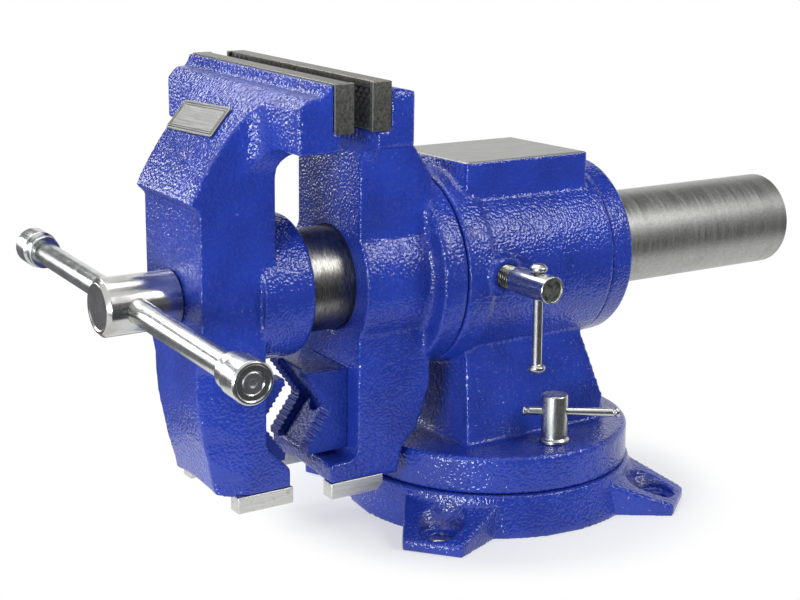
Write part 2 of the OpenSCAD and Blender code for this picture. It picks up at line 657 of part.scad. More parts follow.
// Retaining ring on the shank's rear end, with its two grub screws
grub_d = 6;
grub_angles = [-90, 180];
grub_depth = 3;
grub_sink = 1;
ring_draft = 0.4;
module ring_grubs_at() for (a = grub_angles)
    translate([(shank_end + ring_seat_end) / 2, 0, 0]) rotate([a, 0, 0])
        translate([0, 0, ring_seat_d / 2 - grub_depth]) children();
module retaining_ring() color(paint) head() difference() {
    turned() polygon(rounded([[ring_seat_d / 2 + fixed_fit, shank_end, 0],
        [ring_d / 2, shank_end, edge_r], [ring_d / 2 - ring_draft, shank_end + ring_thickness, soft_edge_r],
        [tube_bore_d / 2, shank_end + ring_thickness, 0],
        [tube_bore_d / 2, ring_seat_end + fixed_fit, 0],
        [ring_seat_d / 2 + fixed_fit, ring_seat_end + fixed_fit, 0]]));
    ring_grubs_at() cylinder(d = grub_d + 2 * fixed_fit, h = ring_d);
}
module ring_grub_screws() color(dark_steel) head() ring_grubs_at() difference() {
    length = (ring_d - ring_seat_d) / 2 + grub_depth - grub_sink;
    translate([0, 0, fixed_fit]) cylinder(d = grub_d, h = length);
    translate([0, 0, length - grub_d / 2]) cylinder(d = grub_d * screw_socket_share, h = grub_d, $fn = 6);
}

// Spindle, its collar behind the nose wall, and the collar's pin
head_face = front_seat_x - nose_depth - seam_gap;
tail_recess = 28;
spindle_tail = tube_tail - tail_recess;
spindle_bevel = 1.8;
bar_place_share = 0.6;
bar_x = head_face - spindle_head_length * bar_place_share;
collar_gap = 2;
collar_d = tube_inner_d - 2 * collar_gap;
collar_length = 9;
collar_x = front_bore_end + seam_gap;
collar_pin_d = 5;
collar_pin_sink = 0.5;
collar_pin_length = collar_d - 2 * collar_pin_sink;
module spindle_frame() head() rotate([handle_turn, 0, 0]) children();
module spindle() color(plated_steel) spindle_frame() difference() {
    turned() polygon([[0, head_face - spindle_head_length],
        [spindle_head_d / 2 - spindle_bevel, head_face - spindle_head_length],
        [spindle_head_d / 2, head_face - spindle_head_length + spindle_bevel],
        [spindle_head_d / 2, head_face], [spindle_d / 2, head_face],
        [spindle_d / 2, spindle_tail - spindle_bevel],
        [spindle_d / 2 - spindle_bevel, spindle_tail], [0, spindle_tail]]);
    translate([bar_x, 0, 0]) cross_rod(bar_d + 2 * running_clearance, -spindle_head_d, spindle_head_d);
    translate([collar_x + collar_length / 2, 0, 0])
        cross_rod(collar_pin_d + 2 * fixed_fit, -collar_d, collar_d);
}
module spindle_collar() color(dark_steel) spindle_frame() difference() {
    rod(collar_d, collar_x, collar_x + collar_length);
    rod(spindle_d + 2 * fixed_fit, collar_x - overrun, collar_x + collar_length + overrun);
    translate([collar_x + collar_length / 2, 0, 0])
        cross_rod(collar_pin_d + 2 * fixed_fit, -collar_d, collar_d);
}
module collar_pin() color(plated_steel) spindle_frame() translate([collar_x + collar_length / 2, 0, 0])
    cross_rod(collar_pin_d, -collar_pin_length / 2, collar_pin_length / 2);

// Handle bar and its two knobs, which are pressed on and spread at the ends
bar_shoulder = 1;
bar_seat_d = bar_d - 2 * bar_shoulder;
knob_neck_share = 0.28;
knob_groove = 0.9;
module handle_bar() color(plated_steel) spindle_frame() translate([bar_x, 0, 0]) {
    cross_rod(bar_d, -bar_length / 2 + knob_length, bar_length / 2 - knob_length);
    cross_rod(bar_seat_d, -bar_length / 2 + knob_groove, bar_length / 2 - knob_groove);
}
module handle_knob(side) color(plated_steel) spindle_frame() translate([bar_x, 0, 0])
    rotate([-side * 90, 0, 0]) translate([0, 0, bar_length / 2 - knob_length]) rotate_extrude()
        polygon(rounded([[bar_seat_d / 2 + fixed_fit, 0, 0], [knob_d / 2 - knob_groove, 0, fine_edge],
            [knob_d / 2 - knob_groove, knob_length * knob_neck_share, 0],
            [knob_d / 2, knob_length * knob_neck_share + knob_groove, fine_edge],
            [knob_d / 2, knob_length, edge_r],
            [bar_seat_d / 2 + fixed_fit, knob_length, 0]]));
module handle_knob_near() handle_knob(-1);
module handle_knob_far() handle_knob(1);

// Nameplate: a plain, bare plate on the slanted face
nameplate_size = [40, 14.6];
nameplate_thickness = 0.8;
nameplate_down_share = 0.385;
nameplate_y = 5.2;
nameplate_turn = 2.8;
module nameplate() color(bright_steel) head() {
    chord = brow_foot - brow_top;
    t = nameplate_down_share;
    tangent = chord + [-chord.y, chord.x] / norm(chord) * 4 * brow_bow * (2 * t - 1);
    middle = brow_top + chord * t + [chord.y, -chord.x] / norm(chord) * brow_bow * (1 - pow(2 * t - 1, 2));
    slope = atan2(-tangent.y, -tangent.x);
    half = nameplate_size / 2;
    translate([middle.x, nameplate_y, middle.y]) rotate([0, -slope, 0]) rotate([0, 0, nameplate_turn])
        translate([0, 0, fixed_fit]) linear_extrude(nameplate_thickness) polygon(rounded([
            [-half.y, -half.x, edge_r], [half.y, -half.x, edge_r],
            [half.y, half.x, edge_r], [-half.y, half.x, edge_r]]));
}

// Swivel body: disc, pedestal, barrel and anvil in one casting
collar_rise = 1.4;
collar_width = 12.5;
neck_front_share = 0.88;
neck_rear_share = 0.66;
neck_level_share = 0.7;
neck_z = axis_height - barrel_d / 2 * neck_level_share;
lock_boss_d = 17;
lock_boss_rise = 3.8;
bolt_hole_spare = 1;
module pedestal() intersection() {
    front = pedestal_front;
    rear = pedestal_rear;
    across(pedestal_width) polygon([[-front, disc_top - overrun], [rear, disc_top - overrun],
        [rear * neck_rear_share, neck_z], [rear * neck_rear_share, axis_height],
        [-front * neck_front_share, axis_height], [-front * neck_front_share, neck_z]]);
    along(-front, rear) polygon([[-pedestal_width / 2, disc_top - overrun],
        [pedestal_width / 2, disc_top - overrun], [neck_width / 2, neck_z], [neck_width / 2, axis_height],
        [-neck_width / 2, axis_height], [-neck_width / 2, neck_z]]);
    // In plan its front corners are crisp and its rear ones well rounded
    linear_extrude(axis_height) polygon(rounded([
        [-front, -pedestal_width / 2, edge_r], [rear, -pedestal_width / 2, pedestal_rear_r],
        [rear, pedestal_width / 2, pedestal_rear_r], [-front, pedestal_width / 2, edge_r]]));
}
pedestal_rear_r = 11;
module swivel_body() color(paint) difference() {
    union() {
        rotate_extrude() polygon(rounded([[0, disc_bottom, 0], [disc_d / 2, disc_bottom, fine_edge],
            [disc_d / 2, disc_top, soft_edge_r], [0, disc_top, 0]]));
        pedestal();
        barrel() turned() polygon(rounded([[0, -barrel_front, 0],
            [barrel_d / 2 + collar_rise, -barrel_front, edge_r],
            [barrel_d / 2 + collar_rise, -barrel_front + collar_width, fine_edge],
            [barrel_d / 2, -barrel_front + collar_width + collar_rise, fine_edge],
            [barrel_d / 2, barrel_rear, edge_r], [0, barrel_rear, 0]]));
        barrel() linear_extrude(anvil_rise) polygon(rounded([
            [-anvil_front, -anvil_width / 2, edge_r], [anvil_rear, -anvil_width / 2, edge_r],
            [anvil_rear, anvil_width / 2, edge_r], [-anvil_front, anvil_width / 2, edge_r]]));
        head_lock_at() cross_rod(lock_boss_d, -barrel_d / 2 - lock_boss_rise, -shank_d / 2);
    }
    barrel() rod(barrel_bore_d, -barrel_front - overrun, barrel_rear + overrun);
    head_lock_at() cross_rod(head_lock_d + 2 * running_clearance, -barrel_d, 0);
    for (y = [-1, 1] * base_lock_reach) translate([0, y, 0])
        cylinder(d = base_lock_d + 2 * seam_gap, h = disc_top + overrun);
    cylinder(d = centre_bolt_d + 2 * fixed_fit, h = centre_bolt_top + bolt_hole_spare);
}

// Base plate with its lugs, circular shoe groove and centre bore
lug_count = 4;
lug_root_width = 44;
lug_root_height = 15;
lug_root_reach = 62;
lug_corner_r = 3;
base_top_extra = 1.2;
base_foot_h = 2;
bolt_seat_d = 17;
bolt_seat_drop = 1;
scoop_r = 12;
scoop_inset = 2;
groove_neck_w = 13.6;
groove_w = 21.2;
groove_floor = 5;
groove_roof = 11;
entry_angle = 45;
underside_relief = 2;
foot_ring_w = 8;
centre_bolt_d = 16;
centre_head_d = 27;
centre_head_h = 7;
centre_sink = 10;
centre_bolt_bite = 6;
centre_bolt_top = disc_top + centre_bolt_bite;
washer_t = 1.6;
module lug() intersection() {
    linear_extrude(base_height) polygon(rounded([
        [0, lug_root_width / 2, 0], [lug_root_reach, lug_root_width / 2, 0],
        [lug_reach, lug_tip_width / 2, lug_corner_r], [lug_reach, -lug_tip_width / 2, lug_corner_r],
        [lug_root_reach, -lug_root_width / 2, 0], [0, -lug_root_width / 2, 0]]));
    across(2 * lug_root_width) polygon([[0, 0], [lug_reach, 0], [lug_reach, lug_tip_height],
        [lug_root_reach, lug_root_height], [0, lug_root_height]]);
}
module lug_cuts() {
    translate([bolt_circle_d / 2 - scoop_inset, 0, lug_tip_height + scoop_r - bolt_seat_drop])
        sphere(r = scoop_r, $fn = 48);
    translate([bolt_circle_d / 2, 0, 0]) {
        translate([0, 0, lug_tip_height - bolt_seat_drop]) cylinder(d = bolt_seat_d, h = base_height);
        translate([0, 0, -overrun]) cylinder(d = bolt_hole_d, h = base_height);
    }
}
module base_plate() color(paint) rotate([0, 0, base_turn]) difference() {
    union() {
        rotate_extrude() polygon(rounded([[0, 0, 0], [foot_d / 2, 0, 0],
            [foot_d / 2, base_foot_h, fine_edge],
            [disc_d / 2 + base_top_extra, base_height, edge_r], [0, base_height, 0]]));
        for (k = [0:lug_count - 1]) rotate([0, 0, (k + 0.5) * 360 / lug_count]) lug();
    }
    for (k = [0:lug_count - 1]) rotate([0, 0, (k + 0.5) * 360 / lug_count]) lug_cuts();
    rotate_extrude() {
        translate([base_lock_reach - groove_neck_w / 2, groove_floor]) square([groove_neck_w, base_height]);
        translate([base_lock_reach - groove_w / 2, groove_floor]) square([groove_w, groove_roof - groove_floor]);
        translate([centre_head_d, -overrun])
            square([foot_d / 2 - foot_ring_w - centre_head_d, underside_relief + overrun]);
    }
    rotate([0, 0, entry_angle]) translate([base_lock_reach, 0, groove_floor])
        cylinder(d = groove_w, h = base_height);
    translate([0, 0, -overrun]) cylinder(d = centre_bolt_d + 2 * running_clearance, h = base_height + 2 * overrun);
    translate([0, 0, -overrun]) cylinder(d = centre_head_d + 2 * washer_t, h = centre_sink + overrun);
}

// Centre bolt, up through the base into the swivel body, and its washer
module centre_bolt() color(dark_steel) {
    head_z = centre_sink - washer_t - centre_head_h - seam_gap;
    translate([0, 0, head_z]) cylinder(d = centre_head_d, h = centre_head_h, $fn = 6);
    translate([0, 0, head_z + overrun]) cylinder(d = centre_bolt_d, h = centre_bolt_top - head_z - overrun);
}
module centre_washer() color(plated_steel) translate([0, 0, centre_sink - washer_t - seam_gap]) difference() {
    cylinder(d = centre_head_d + washer_t, h = washer_t);
    translate([0, 0, -overrun]) cylinder(d = centre_bolt_d + 2 * running_clearance, h = 2 * overrun + washer_t);
}

// Base lock: a tee shoe in the groove and a screw with a cross bar, on two sides
shoe_neck_share = 0.955;
shoe_flange_share = 0.94;
shoe_gap = 0.5;
lock_foot_d = 13.8;
lock_foot_h = 1.4;
lock_bar_rise_share = 0.63;
base_bar_long = 29;
base_bar_short = 14.6;
bar_tip_length = 3;
bar_groove = 0.5;
bar_tip_spread = 0.35;
bar_neck_share = 0.25;
module base_lock_shoes() color(dark_steel) for (y = [-1, 1] * base_lock_reach) translate([0, y, 0])
    difference() {
        union() {
            translate([0, 0, groove_floor + shoe_gap])
                cylinder(d = groove_w * shoe_flange_share, h = groove_roof - groove_floor - 2 * shoe_gap);
            translate([0, 0, groove_roof - 2 * shoe_gap])
                cylinder(d = groove_neck_w * shoe_neck_share, h = base_height - groove_roof + shoe_gap);
        }
        translate([0, 0, -overrun]) cylinder(d = base_lock_d + 2 * fixed_fit, h = 2 * base_height);
    }
module base_lock_screw(side) color(plated_steel) rotate([0, 0, side > 0 ? 180 : 0])
    translate([0, -base_lock_reach, 0]) difference() {
        union() {
            translate([0, 0, groove_floor + 2 * shoe_gap]) cylinder(d = base_lock_d, h = disc_top);
            translate([0, 0, disc_top + fixed_fit]) rotate_extrude() polygon(rounded([
                [0, 0, 0], [lock_foot_d / 2, 0, 0], [lock_foot_d / 2, lock_foot_h, fine_edge],
                [lock_head_d / 2, lock_foot_h + fine_edge, 0],
                [lock_head_d / 2, base_lock_rise, edge_r], [0, base_lock_rise, 0]]));
        }
        translate([0, 0, disc_top + base_lock_rise * lock_bar_rise_share]) rotate([0, 0, base_lock_turn + 90])
            cross_rod(base_lock_bar_d + 2 * running_clearance, -lock_head_d, lock_head_d);
    }
module base_lock_bar(side) color(plated_steel) rotate([0, 0, side > 0 ? 180 : 0])
    translate([0, -base_lock_reach, disc_top + base_lock_rise * lock_bar_rise_share])
        rotate([0, 0, base_lock_turn]) turned() polygon(concat(
            [for (q = tip_profile()) [q.x, q.y - base_bar_short]],
            [for (i = [len(tip_profile()) - 1:-1:0])
                [tip_profile()[i].x, base_bar_long - tip_profile()[i].y]]));
// Half profile [radius, distance from the end] of a spread, grooved bar tip
function tip_profile() = let (r = base_lock_bar_d / 2, g = r - bar_groove, t = r + bar_tip_spread,
    n = bar_tip_length, w = bar_tip_length * bar_neck_share) [
    [0, 0], [t - fine_edge, 0], [t, fine_edge], [t, n - 2 * w], [g, n - 1.5 * w], [g, n - w / 2], [r, n]];
module base_lock_screw_a() base_lock_screw(-1);
module base_lock_screw_b() base_lock_screw(1);
module base_lock_bar_a() base_lock_bar(-1);
module base_lock_bar_b() base_lock_bar(1);

// Head lock: a screw in the barrel's side that presses a pad on the head's shank
pad_thickness = 3;
pad_start = shank_d / 2 + seam_gap;
lock_neck_length = 7.2;
head_lock_bar_y = 68.6;
bar_knob_d = 7.5;
bar_knob_length = 3.6;
head_bar_drop = 37.8;
head_lock_lift = 1.4;
module head_lock_at() barrel() translate([-head_lock_reach, 0, head_lock_lift]) children();
module head_lock_screw() color(plated_steel) head_lock_at() difference() {
    neck = barrel_d / 2 + lock_boss_rise + lock_neck_length;
    rotate([90, 0, 0]) rotate_extrude() polygon(rounded([
        [0, pad_start + pad_thickness, 0], [head_lock_d / 2, pad_start + pad_thickness, 0],
        [head_lock_d / 2, neck, 0], [lock_head_d / 2, neck + fine_edge, 0],
        [lock_head_d / 2, head_lock_end, fine_edge], [0, head_lock_end, 0]]));
    translate([0, -head_lock_bar_y, -lock_head_d]) cylinder(d = head_lock_bar_d + 2 * running_clearance, h = 2 * lock_head_d);
}
module head_lock_pad() color(brass) head_lock_at()
    cross_rod(head_lock_d - 4 * running_clearance, -pad_start - pad_thickness, -pad_start);
module head_lock_bar() color(plated_steel) head_lock_at() translate([0, -head_lock_bar_y, 0])
    rotate_extrude() {
        r = head_lock_bar_d / 2;
        top = lock_head_d / 2 + running_clearance;
        polygon(rounded([[0, top + bar_knob_length, 0], [bar_knob_d / 2, top + bar_knob_length, edge_r],
            [bar_knob_d / 2, top, edge_r], [r, top, 0],
            [r, bar_knob_length - head_bar_drop, 0],
            [bar_knob_d / 2, bar_knob_length - head_bar_drop, edge_r],
            [bar_knob_d / 2, -head_bar_drop, edge_r], [0, -head_bar_drop, 0]]));
    }

base_plate();
centre_bolt();
centre_washer();
swivel_body();
base_lock_shoes();
base_lock_screw_a();
base_lock_bar_a();
base_lock_screw_b();
base_lock_bar_b();
head_lock_screw();
head_lock_bar();
head_lock_pad();
fixed_jaw();
retaining_ring();
ring_grub_screws();
spindle_nut();
nut_screw();
fixed_jaw_plate();
fixed_plate_screws();
fixed_pipe_jaw();
fixed_pipe_jaw_screw();
fixed_leg_blocks();
fixed_leg_screws();
front_jaw();
slide_tube();
tube_pin();
front_jaw_plate();
front_plate_screws();
front_pipe_jaw();
front_pipe_jaw_screw();
front_leg_blocks();
front_leg_screws();
nameplate();
spindle();
spindle_collar();
collar_pin();
handle_bar();
handle_knob_near();
handle_knob_far();
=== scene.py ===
"""Visual model of a multipurpose swivel bench vise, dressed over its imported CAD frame.

Sizes are written in millimetres. A mesh is stored in metres, in the frame of the CAD
part: +Z up, +X along the slide tube, and the origin on the bench under the swivel axis.
"""

from __future__ import annotations

import enum
import functools
import json
import logging
import math
from dataclasses import dataclass
from typing import Any, Sequence

import bmesh
import bpy
from mathutils import Matrix, Vector

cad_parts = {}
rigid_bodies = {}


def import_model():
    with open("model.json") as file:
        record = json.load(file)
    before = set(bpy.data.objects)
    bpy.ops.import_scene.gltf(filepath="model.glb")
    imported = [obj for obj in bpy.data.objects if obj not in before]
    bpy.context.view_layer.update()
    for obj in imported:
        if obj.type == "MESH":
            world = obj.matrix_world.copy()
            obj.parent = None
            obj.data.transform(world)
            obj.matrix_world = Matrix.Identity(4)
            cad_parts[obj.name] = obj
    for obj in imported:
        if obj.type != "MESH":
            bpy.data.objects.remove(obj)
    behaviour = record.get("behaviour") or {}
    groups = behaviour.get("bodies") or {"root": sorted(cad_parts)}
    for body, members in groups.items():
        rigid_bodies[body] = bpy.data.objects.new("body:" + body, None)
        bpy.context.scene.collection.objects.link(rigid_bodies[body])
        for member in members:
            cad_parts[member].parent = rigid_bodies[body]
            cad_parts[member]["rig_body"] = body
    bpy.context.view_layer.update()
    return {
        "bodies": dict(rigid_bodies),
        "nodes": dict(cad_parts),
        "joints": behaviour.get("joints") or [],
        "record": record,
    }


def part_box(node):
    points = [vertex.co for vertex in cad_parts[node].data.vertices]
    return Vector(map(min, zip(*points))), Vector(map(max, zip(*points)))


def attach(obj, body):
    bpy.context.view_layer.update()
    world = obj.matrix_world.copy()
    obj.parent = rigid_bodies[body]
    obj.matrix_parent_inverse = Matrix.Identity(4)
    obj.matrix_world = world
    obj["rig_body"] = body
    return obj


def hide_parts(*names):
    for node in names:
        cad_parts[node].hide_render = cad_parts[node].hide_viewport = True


LOG = logging.getLogger("vise")
MM = 0.001
AXIS_HEIGHT = 113.6
JAW_RISE = 92.5
HEAD_ROLL = 1.5
BASE_TURN = -6.5
SPINDLE_ROLL = 2.7
# Where the sliding bar crosses the spindle's head
SPINDLE_BAR_X = -181.8
MOST_TRIANGLES = 185_000
# Triangles that a remeshed casting has for each cell's area
TRIANGLES_PER_CELL = 2.6
# A countersunk head's radius over its thread's diameter
HEAD_SHARE = 0.875

Pair = tuple[float, float]
Corner = tuple[float, float, float]
Ring = list[Vector]
Mesh = bmesh.types.BMesh
Piece = bpy.types.Object
Material = bpy.types.Material
Socket = bpy.types.NodeSocket


def linear(code: str) -> tuple[float, float, float, float]:
    """Turn an sRGB hex colour into linear light.

    Args:
        code: six hex digits.

    Returns:
        Red, green and blue, and an alpha of one.
    """
    values = [int(code[i:i + 2], 16) / 255 for i in (0, 2, 4)]
    r, g, b = (v / 12.92 if v <= 0.04045 else ((v + 0.055) / 1.055) ** 2.4 for v in values)
    return r, g, b, 1.0


# Node trees


class Kind(enum.Enum):
    """The nodes in use: type, settings, inputs in the order of a call, and usual output."""

    ADD = "ShaderNodeMath", {"operation": "ADD"}, (0, 1), 0
    SUBTRACT = "ShaderNodeMath", {"operation": "SUBTRACT"}, (0, 1), 0
    MULTIPLY = "ShaderNodeMath", {"operation": "MULTIPLY"}, (0, 1), 0
    DIVIDE = "ShaderNodeMath", {"operation": "DIVIDE"}, (0, 1), 0
    MODULO = "ShaderNodeMath", {"operation": "FLOORED_MODULO"}, (0, 1), 0
    LESS = "ShaderNodeMath", {"operation": "LESS_THAN"}, (0, 1), 0
    GREATER = "ShaderNodeMath", {"operation": "GREATER_THAN"}, (0, 1), 0
    MAXIMUM = "ShaderNodeMath", {"operation": "MAXIMUM"}, (0, 1), 0
    ABSOLUTE = "ShaderNodeMath", {"operation": "ABSOLUTE"}, (0,), 0
    FLOOR = "ShaderNodeMath", {"operation": "FLOOR"}, (0,), 0
    FRACTION = "ShaderNodeMath", {"operation": "FRACT"}, (0,), 0
    ROOT = "ShaderNodeMath", {"operation": "SQRT"}, (0,), 0
    SINE = "ShaderNodeMath", {"operation": "SINE"}, (0,), 0
    COSINE = "ShaderNodeMath", {"operation": "COSINE"}, (0,), 0
    CLAMP = "ShaderNodeClamp", {}, (0,), 0
    RAMP = "ShaderNodeMapRange", {}, ("Value", "From Min", "From Max", "To Min", "To Max"), 0
    SMOOTH_RAMP = "ShaderNodeMapRange", {"interpolation_type": "SMOOTHSTEP"}, (
        "Value", "From Min", "From Max", "To Min", "To Max"), 0
    SPLIT = "ShaderNodeSeparateXYZ", {}, (0,), 0
    JOIN = "ShaderNodeCombineXYZ", {}, (0, 1, 2), 0
    LEVEL = "ShaderNodeVectorRotate", {"rotation_type": "Z_AXIS"}, ("Vector", "Angle"), 0
    FOLD = "ShaderNodeVectorMath", {"operation": "ABSOLUTE"}, (0,), 0
    DISTANCE = "ShaderNodeVectorMath", {"operation": "DISTANCE"}, (0, 1), "Value"
    LENGTH = "ShaderNodeVectorMath", {"operation": "LENGTH"}, (0,), "Value"
    PLACE = "ShaderNodeTexCoord", {}, (), "Object"
    STRETCH = "ShaderNodeMapping", {}, ("Vector", "Scale"), 0
    NOISE = "ShaderNodeTexNoise", {}, ("Vector", "Scale", "Detail"), 0
    BLEND = "ShaderNodeMix", {"data_type": "RGBA"}, (0, 6, 7), 2
    BLEND_RELIEF = "ShaderNodeMix", {"data_type": "VECTOR"}, (0, 4, 5), 1
    BUMP = "ShaderNodeBump", {}, ("Height", "Distance", "Normal"), 0
    SURFACE = "ShaderNodeBsdfPrincipled", {}, (
        "Base Color", "Metallic", "Roughness", "Normal", "Specular IOR Level", "IOR"), 0
    LIT_SURFACE = "ShaderNodeBsdfPrincipled", {}, (
        "Base Color", "Roughness", "Specular IOR Level", "Emission Color", "Emission Strength"), 0
    MATT = "ShaderNodeBsdfDiffuse", {}, ("Color",), 0
    GLOW = "ShaderNodeEmission", {}, ("Color", "Strength"), 0
    SKY = "ShaderNodeBackground", {}, ("Color", "Strength"), 0
    EITHER = "ShaderNodeMixShader", {}, (0, 1, 2), 0
    RAYS = "ShaderNodeLightPath", {}, (), "Is Camera Ray"
    TO_MATERIAL = "ShaderNodeOutputMaterial", {}, ("Surface",), None
    TO_WORLD = "ShaderNodeOutputWorld", {}, ("Surface",), None
    GIVEN = "NodeGroupInput", {}, (), 0
    RESULT = "NodeGroupOutput", {}, ("Geometry",), None
    POSITION = "GeometryNodeInputPosition", {}, (), 0
    INDEX = "GeometryNodeInputIndex", {}, (), 0
    RANDOM = "FunctionNodeRandomValue", {"data_type": "FLOAT"}, ("Min", "Max", "Seed"), 1
    GRID = "GeometryNodeMeshGrid", {}, ("Size X", "Size Y", "Vertices X", "Vertices Y"), "Mesh"
    CONE = "GeometryNodeMeshCone", {}, ("Vertices", "Radius Top", "Radius Bottom", "Depth"), "Mesh"
    PIECE = "GeometryNodeObjectInfo", {"transform_space": "ORIGINAL"}, ("Object",), "Geometry"
    POINTS = "GeometryNodeMeshToPoints", {}, ("Mesh",), 0
    STAND = "GeometryNodeInstanceOnPoints", {}, ("Points", "Instance", "Rotation", "Scale"), 0
    TURN = "GeometryNodeRotateInstances", {}, ("Instances", "Rotation", "Local Space"), 0
    DELETE = "GeometryNodeDeleteGeometry", {"domain": "POINT"}, ("Geometry", "Selection"), 0
    MOVE = "GeometryNodeSetPosition", {}, ("Geometry", "Position"), 0
    MERGE = "GeometryNodeMergeByDistance", {}, ("Geometry", "Distance"), 0
    REALIZE = "GeometryNodeRealizeInstances", {}, ("Geometry",), 0
    DRESS = "GeometryNodeSetMaterial", {}, ("Geometry", "Material"), 0


class Tree:
    """A node tree under construction."""

    def __init__(self, tree: bpy.types.NodeTree) -> None:
        """Start from an empty tree."""
        self.tree = tree
        tree.nodes.clear()

    def add(self, kind: Kind, *values: Any) -> Socket | None:
        """Add one node with its settings and links.

        Args:
            kind: which node.
            *values: what its inputs get, in the kind's order: a plain value, a hex colour,
                the output that feeds it, or None to leave it as it is.

        Returns:
            The kind's usual output.
        """
        name, settings, inputs, output = kind.value
        node = self.tree.nodes.new(name)
        for key, value in settings.items():
            setattr(node, key, value)
        for key, value in zip(inputs, values):
            if isinstance(value, bpy.types.NodeSocket):
                self.tree.links.new(value, node.inputs[key])
            elif value is not None:
                node.inputs[key].default_value = linear(value) if isinstance(value, str) else value
        return None if output is None else node.outputs[output]

    def seen(self) -> Socket:
        """Tell the rays of the camera, of gloss and of glass from all others.

        Returns:
            One for such a ray, and nought for any other.
        """
        rays = self.add(Kind.RAYS)
        mirrored = [rays.node.outputs[name] for name in ("Is Glossy Ray", "Is Transmission Ray")]
        return self.add(Kind.MAXIMUM, rays, self.add(Kind.MAXIMUM, *mirrored))


# Placing


def shift(x: float = 0.0, y: float = 0.0, z: float = 0.0) -> Matrix:
    """Give a move along the axes."""
    return Matrix.Translation((x, y, z))


def turned(degrees: float, axis: str) -> Matrix:
    """Give a turn about one axis."""
    return Matrix.Rotation(math.radians(degrees), 4, axis)


def head_space(roll: float = HEAD_ROLL) -> Matrix:
    """Give the jaw head's own frame, on the tube axis and rolled about it.

    Args:
        roll: the roll in degrees.

    Returns:
        The matrix from that frame to the part's, in millimetres.
    """
    return shift(z=AXIS_HEIGHT) @ turned(roll, "X")


class Lie(enum.Enum):
    """How a turned piece lies: the way that its own axis points."""

    ALONG = turned(90, "Y")
    NEAR = turned(90, "X")
    FAR = turned(-90, "X")


# Mesh building


def rounded(points: Sequence[Corner], steps: int = 5, closed: bool = False) -> list[Pair]:
    """Round the corners of a line of points.

    Args:
        points: each corner as two places and the radius of its rounding.
        steps: how many pieces each rounding has.
        closed: whether the line runs back to its first point.

    Returns:
        The points of the line with its corners rounded.
    """
    made: list[Pair] = []
    count = len(points)
    for i, (x, y, radius) in enumerate(points):
        if radius <= 0 or (not closed and i in (0, count - 1)):
            made.append((x, y))
            continue
        here = Vector((x, y))
        before = (Vector(points[i - 1][:2]) - here).normalized()
        after = (Vector(points[(i + 1) % count][:2]) - here).normalized()
        half = before.angle(after) / 2
        reach = radius / math.tan(half)
        centre = here + (before + after).normalized() * radius / math.sin(half)
        start, end = here + before * reach - centre, here + after * reach - centre
        first = math.atan2(start.y, start.x)
        sweep = (math.atan2(end.y, end.x) - first + math.pi) % (2 * math.pi) - math.pi
        for k in range(steps + 1):
            angle = first + sweep * k / steps
            made.append((centre.x + radius * math.cos(angle), centre.y + radius * math.sin(angle)))
    return made


def rectangle(width: float, height: float, radius: float = 0.0, steps: int = 3) -> list[Pair]:
    """Draw a rectangle about its middle.

    Args:
        width: its size along the first axis.
        height: its size along the second axis.
        radius: the radius of its corners.
        steps: how many pieces each corner has.

    Returns:
        Its outline.
    """
    w, h = width / 2, height / 2
    return rounded([(x, y, radius) for x, y in ((-w, -h), (w, -h), (w, h), (-w, h))], steps, True)


def loft(rings: Sequence[Ring], capped: bool = True) -> Mesh:
    """Skin a row of rings that have the same number of points.

    Args:
        rings: the rings, in order.
        capped: whether the first and last ring are filled.

    Returns:
        The skinned mesh with its faces outward.
    """
    bm = bmesh.new()
    rows = [[bm.verts.new(p) for p in ring] for ring in rings]
    size = len(rows[0])
    for low, high in zip(rows, rows[1:]):
        for i in range(size):
            bm.faces.new((low[i], low[(i + 1) % size], high[(i + 1) % size], high[i]))
    if capped:
        bm.faces.new(list(reversed(rows[0])))
        bm.faces.new(rows[-1])
    bmesh.ops.remove_doubles(bm, verts=bm.verts, dist=1e-5)
    bmesh.ops.recalc_face_normals(bm, faces=bm.faces)
    return bm


def lathe(profile: Sequence[Pair], steps: int = 96, hollow: bool = False) -> Mesh:
    """Turn a profile about its own upright axis.

    Args:
        profile: points as height and radius; for a hollow piece, all the way round its wall.
        steps: points round the piece.
        hollow: whether the profile closes on itself round a wall.

    Returns:
        The turned mesh.
    """
    rings = [[Vector((max(r, 0) * math.cos(math.tau * k / steps),
                      max(r, 0) * math.sin(math.tau * k / steps), h)) for k in range(steps)]
             for h, r in profile]
    return loft(rings + [rings[0]] if hollow else rings, capped=not hollow)


def prism(outline: Sequence[Pair], depth: float, edge: float = 0.0) -> Mesh:
    """Stand an outline up as a slab whose upper and lower rims are eased.

    Args:
        outline: the outline, about its own middle.
        depth: the slab's thickness.
        edge: how much both rims are chamfered.

    Returns:
        The slab, from height zero up.
    """
    flat = [Vector(p) for p in outline]

    def ring(height: float, inset: float) -> Ring:
        """Give the outline at a height, drawn inwards by the inset."""
        made = []
        for i, p in enumerate(flat):
            run = flat[(i + 1) % len(flat)] - flat[i - 1]
            side = Vector((-run.y, run.x)).normalized() if run.length else Vector((0, 0))
            made.append(Vector((p.x + side.x * inset, p.y + side.y * inset, height)))
        return made
    return loft([ring(0, edge), ring(edge, 0), ring(depth - edge, 0), ring(depth, edge)]
                if edge else [ring(0, 0), ring(depth, 0)])


def mark_sharp(bm: Mesh, angle: float) -> None:
    """Smooth every face and mark the sharp edges.

    Args:
        bm: the mesh.
        angle: how many degrees an edge turns before it counts as sharp.
    """
    for face in bm.faces:
        face.smooth = True
    for edge in bm.edges:
        edge.smooth = len(edge.link_faces) == 2 and edge.calc_face_angle(0) < math.radians(angle)


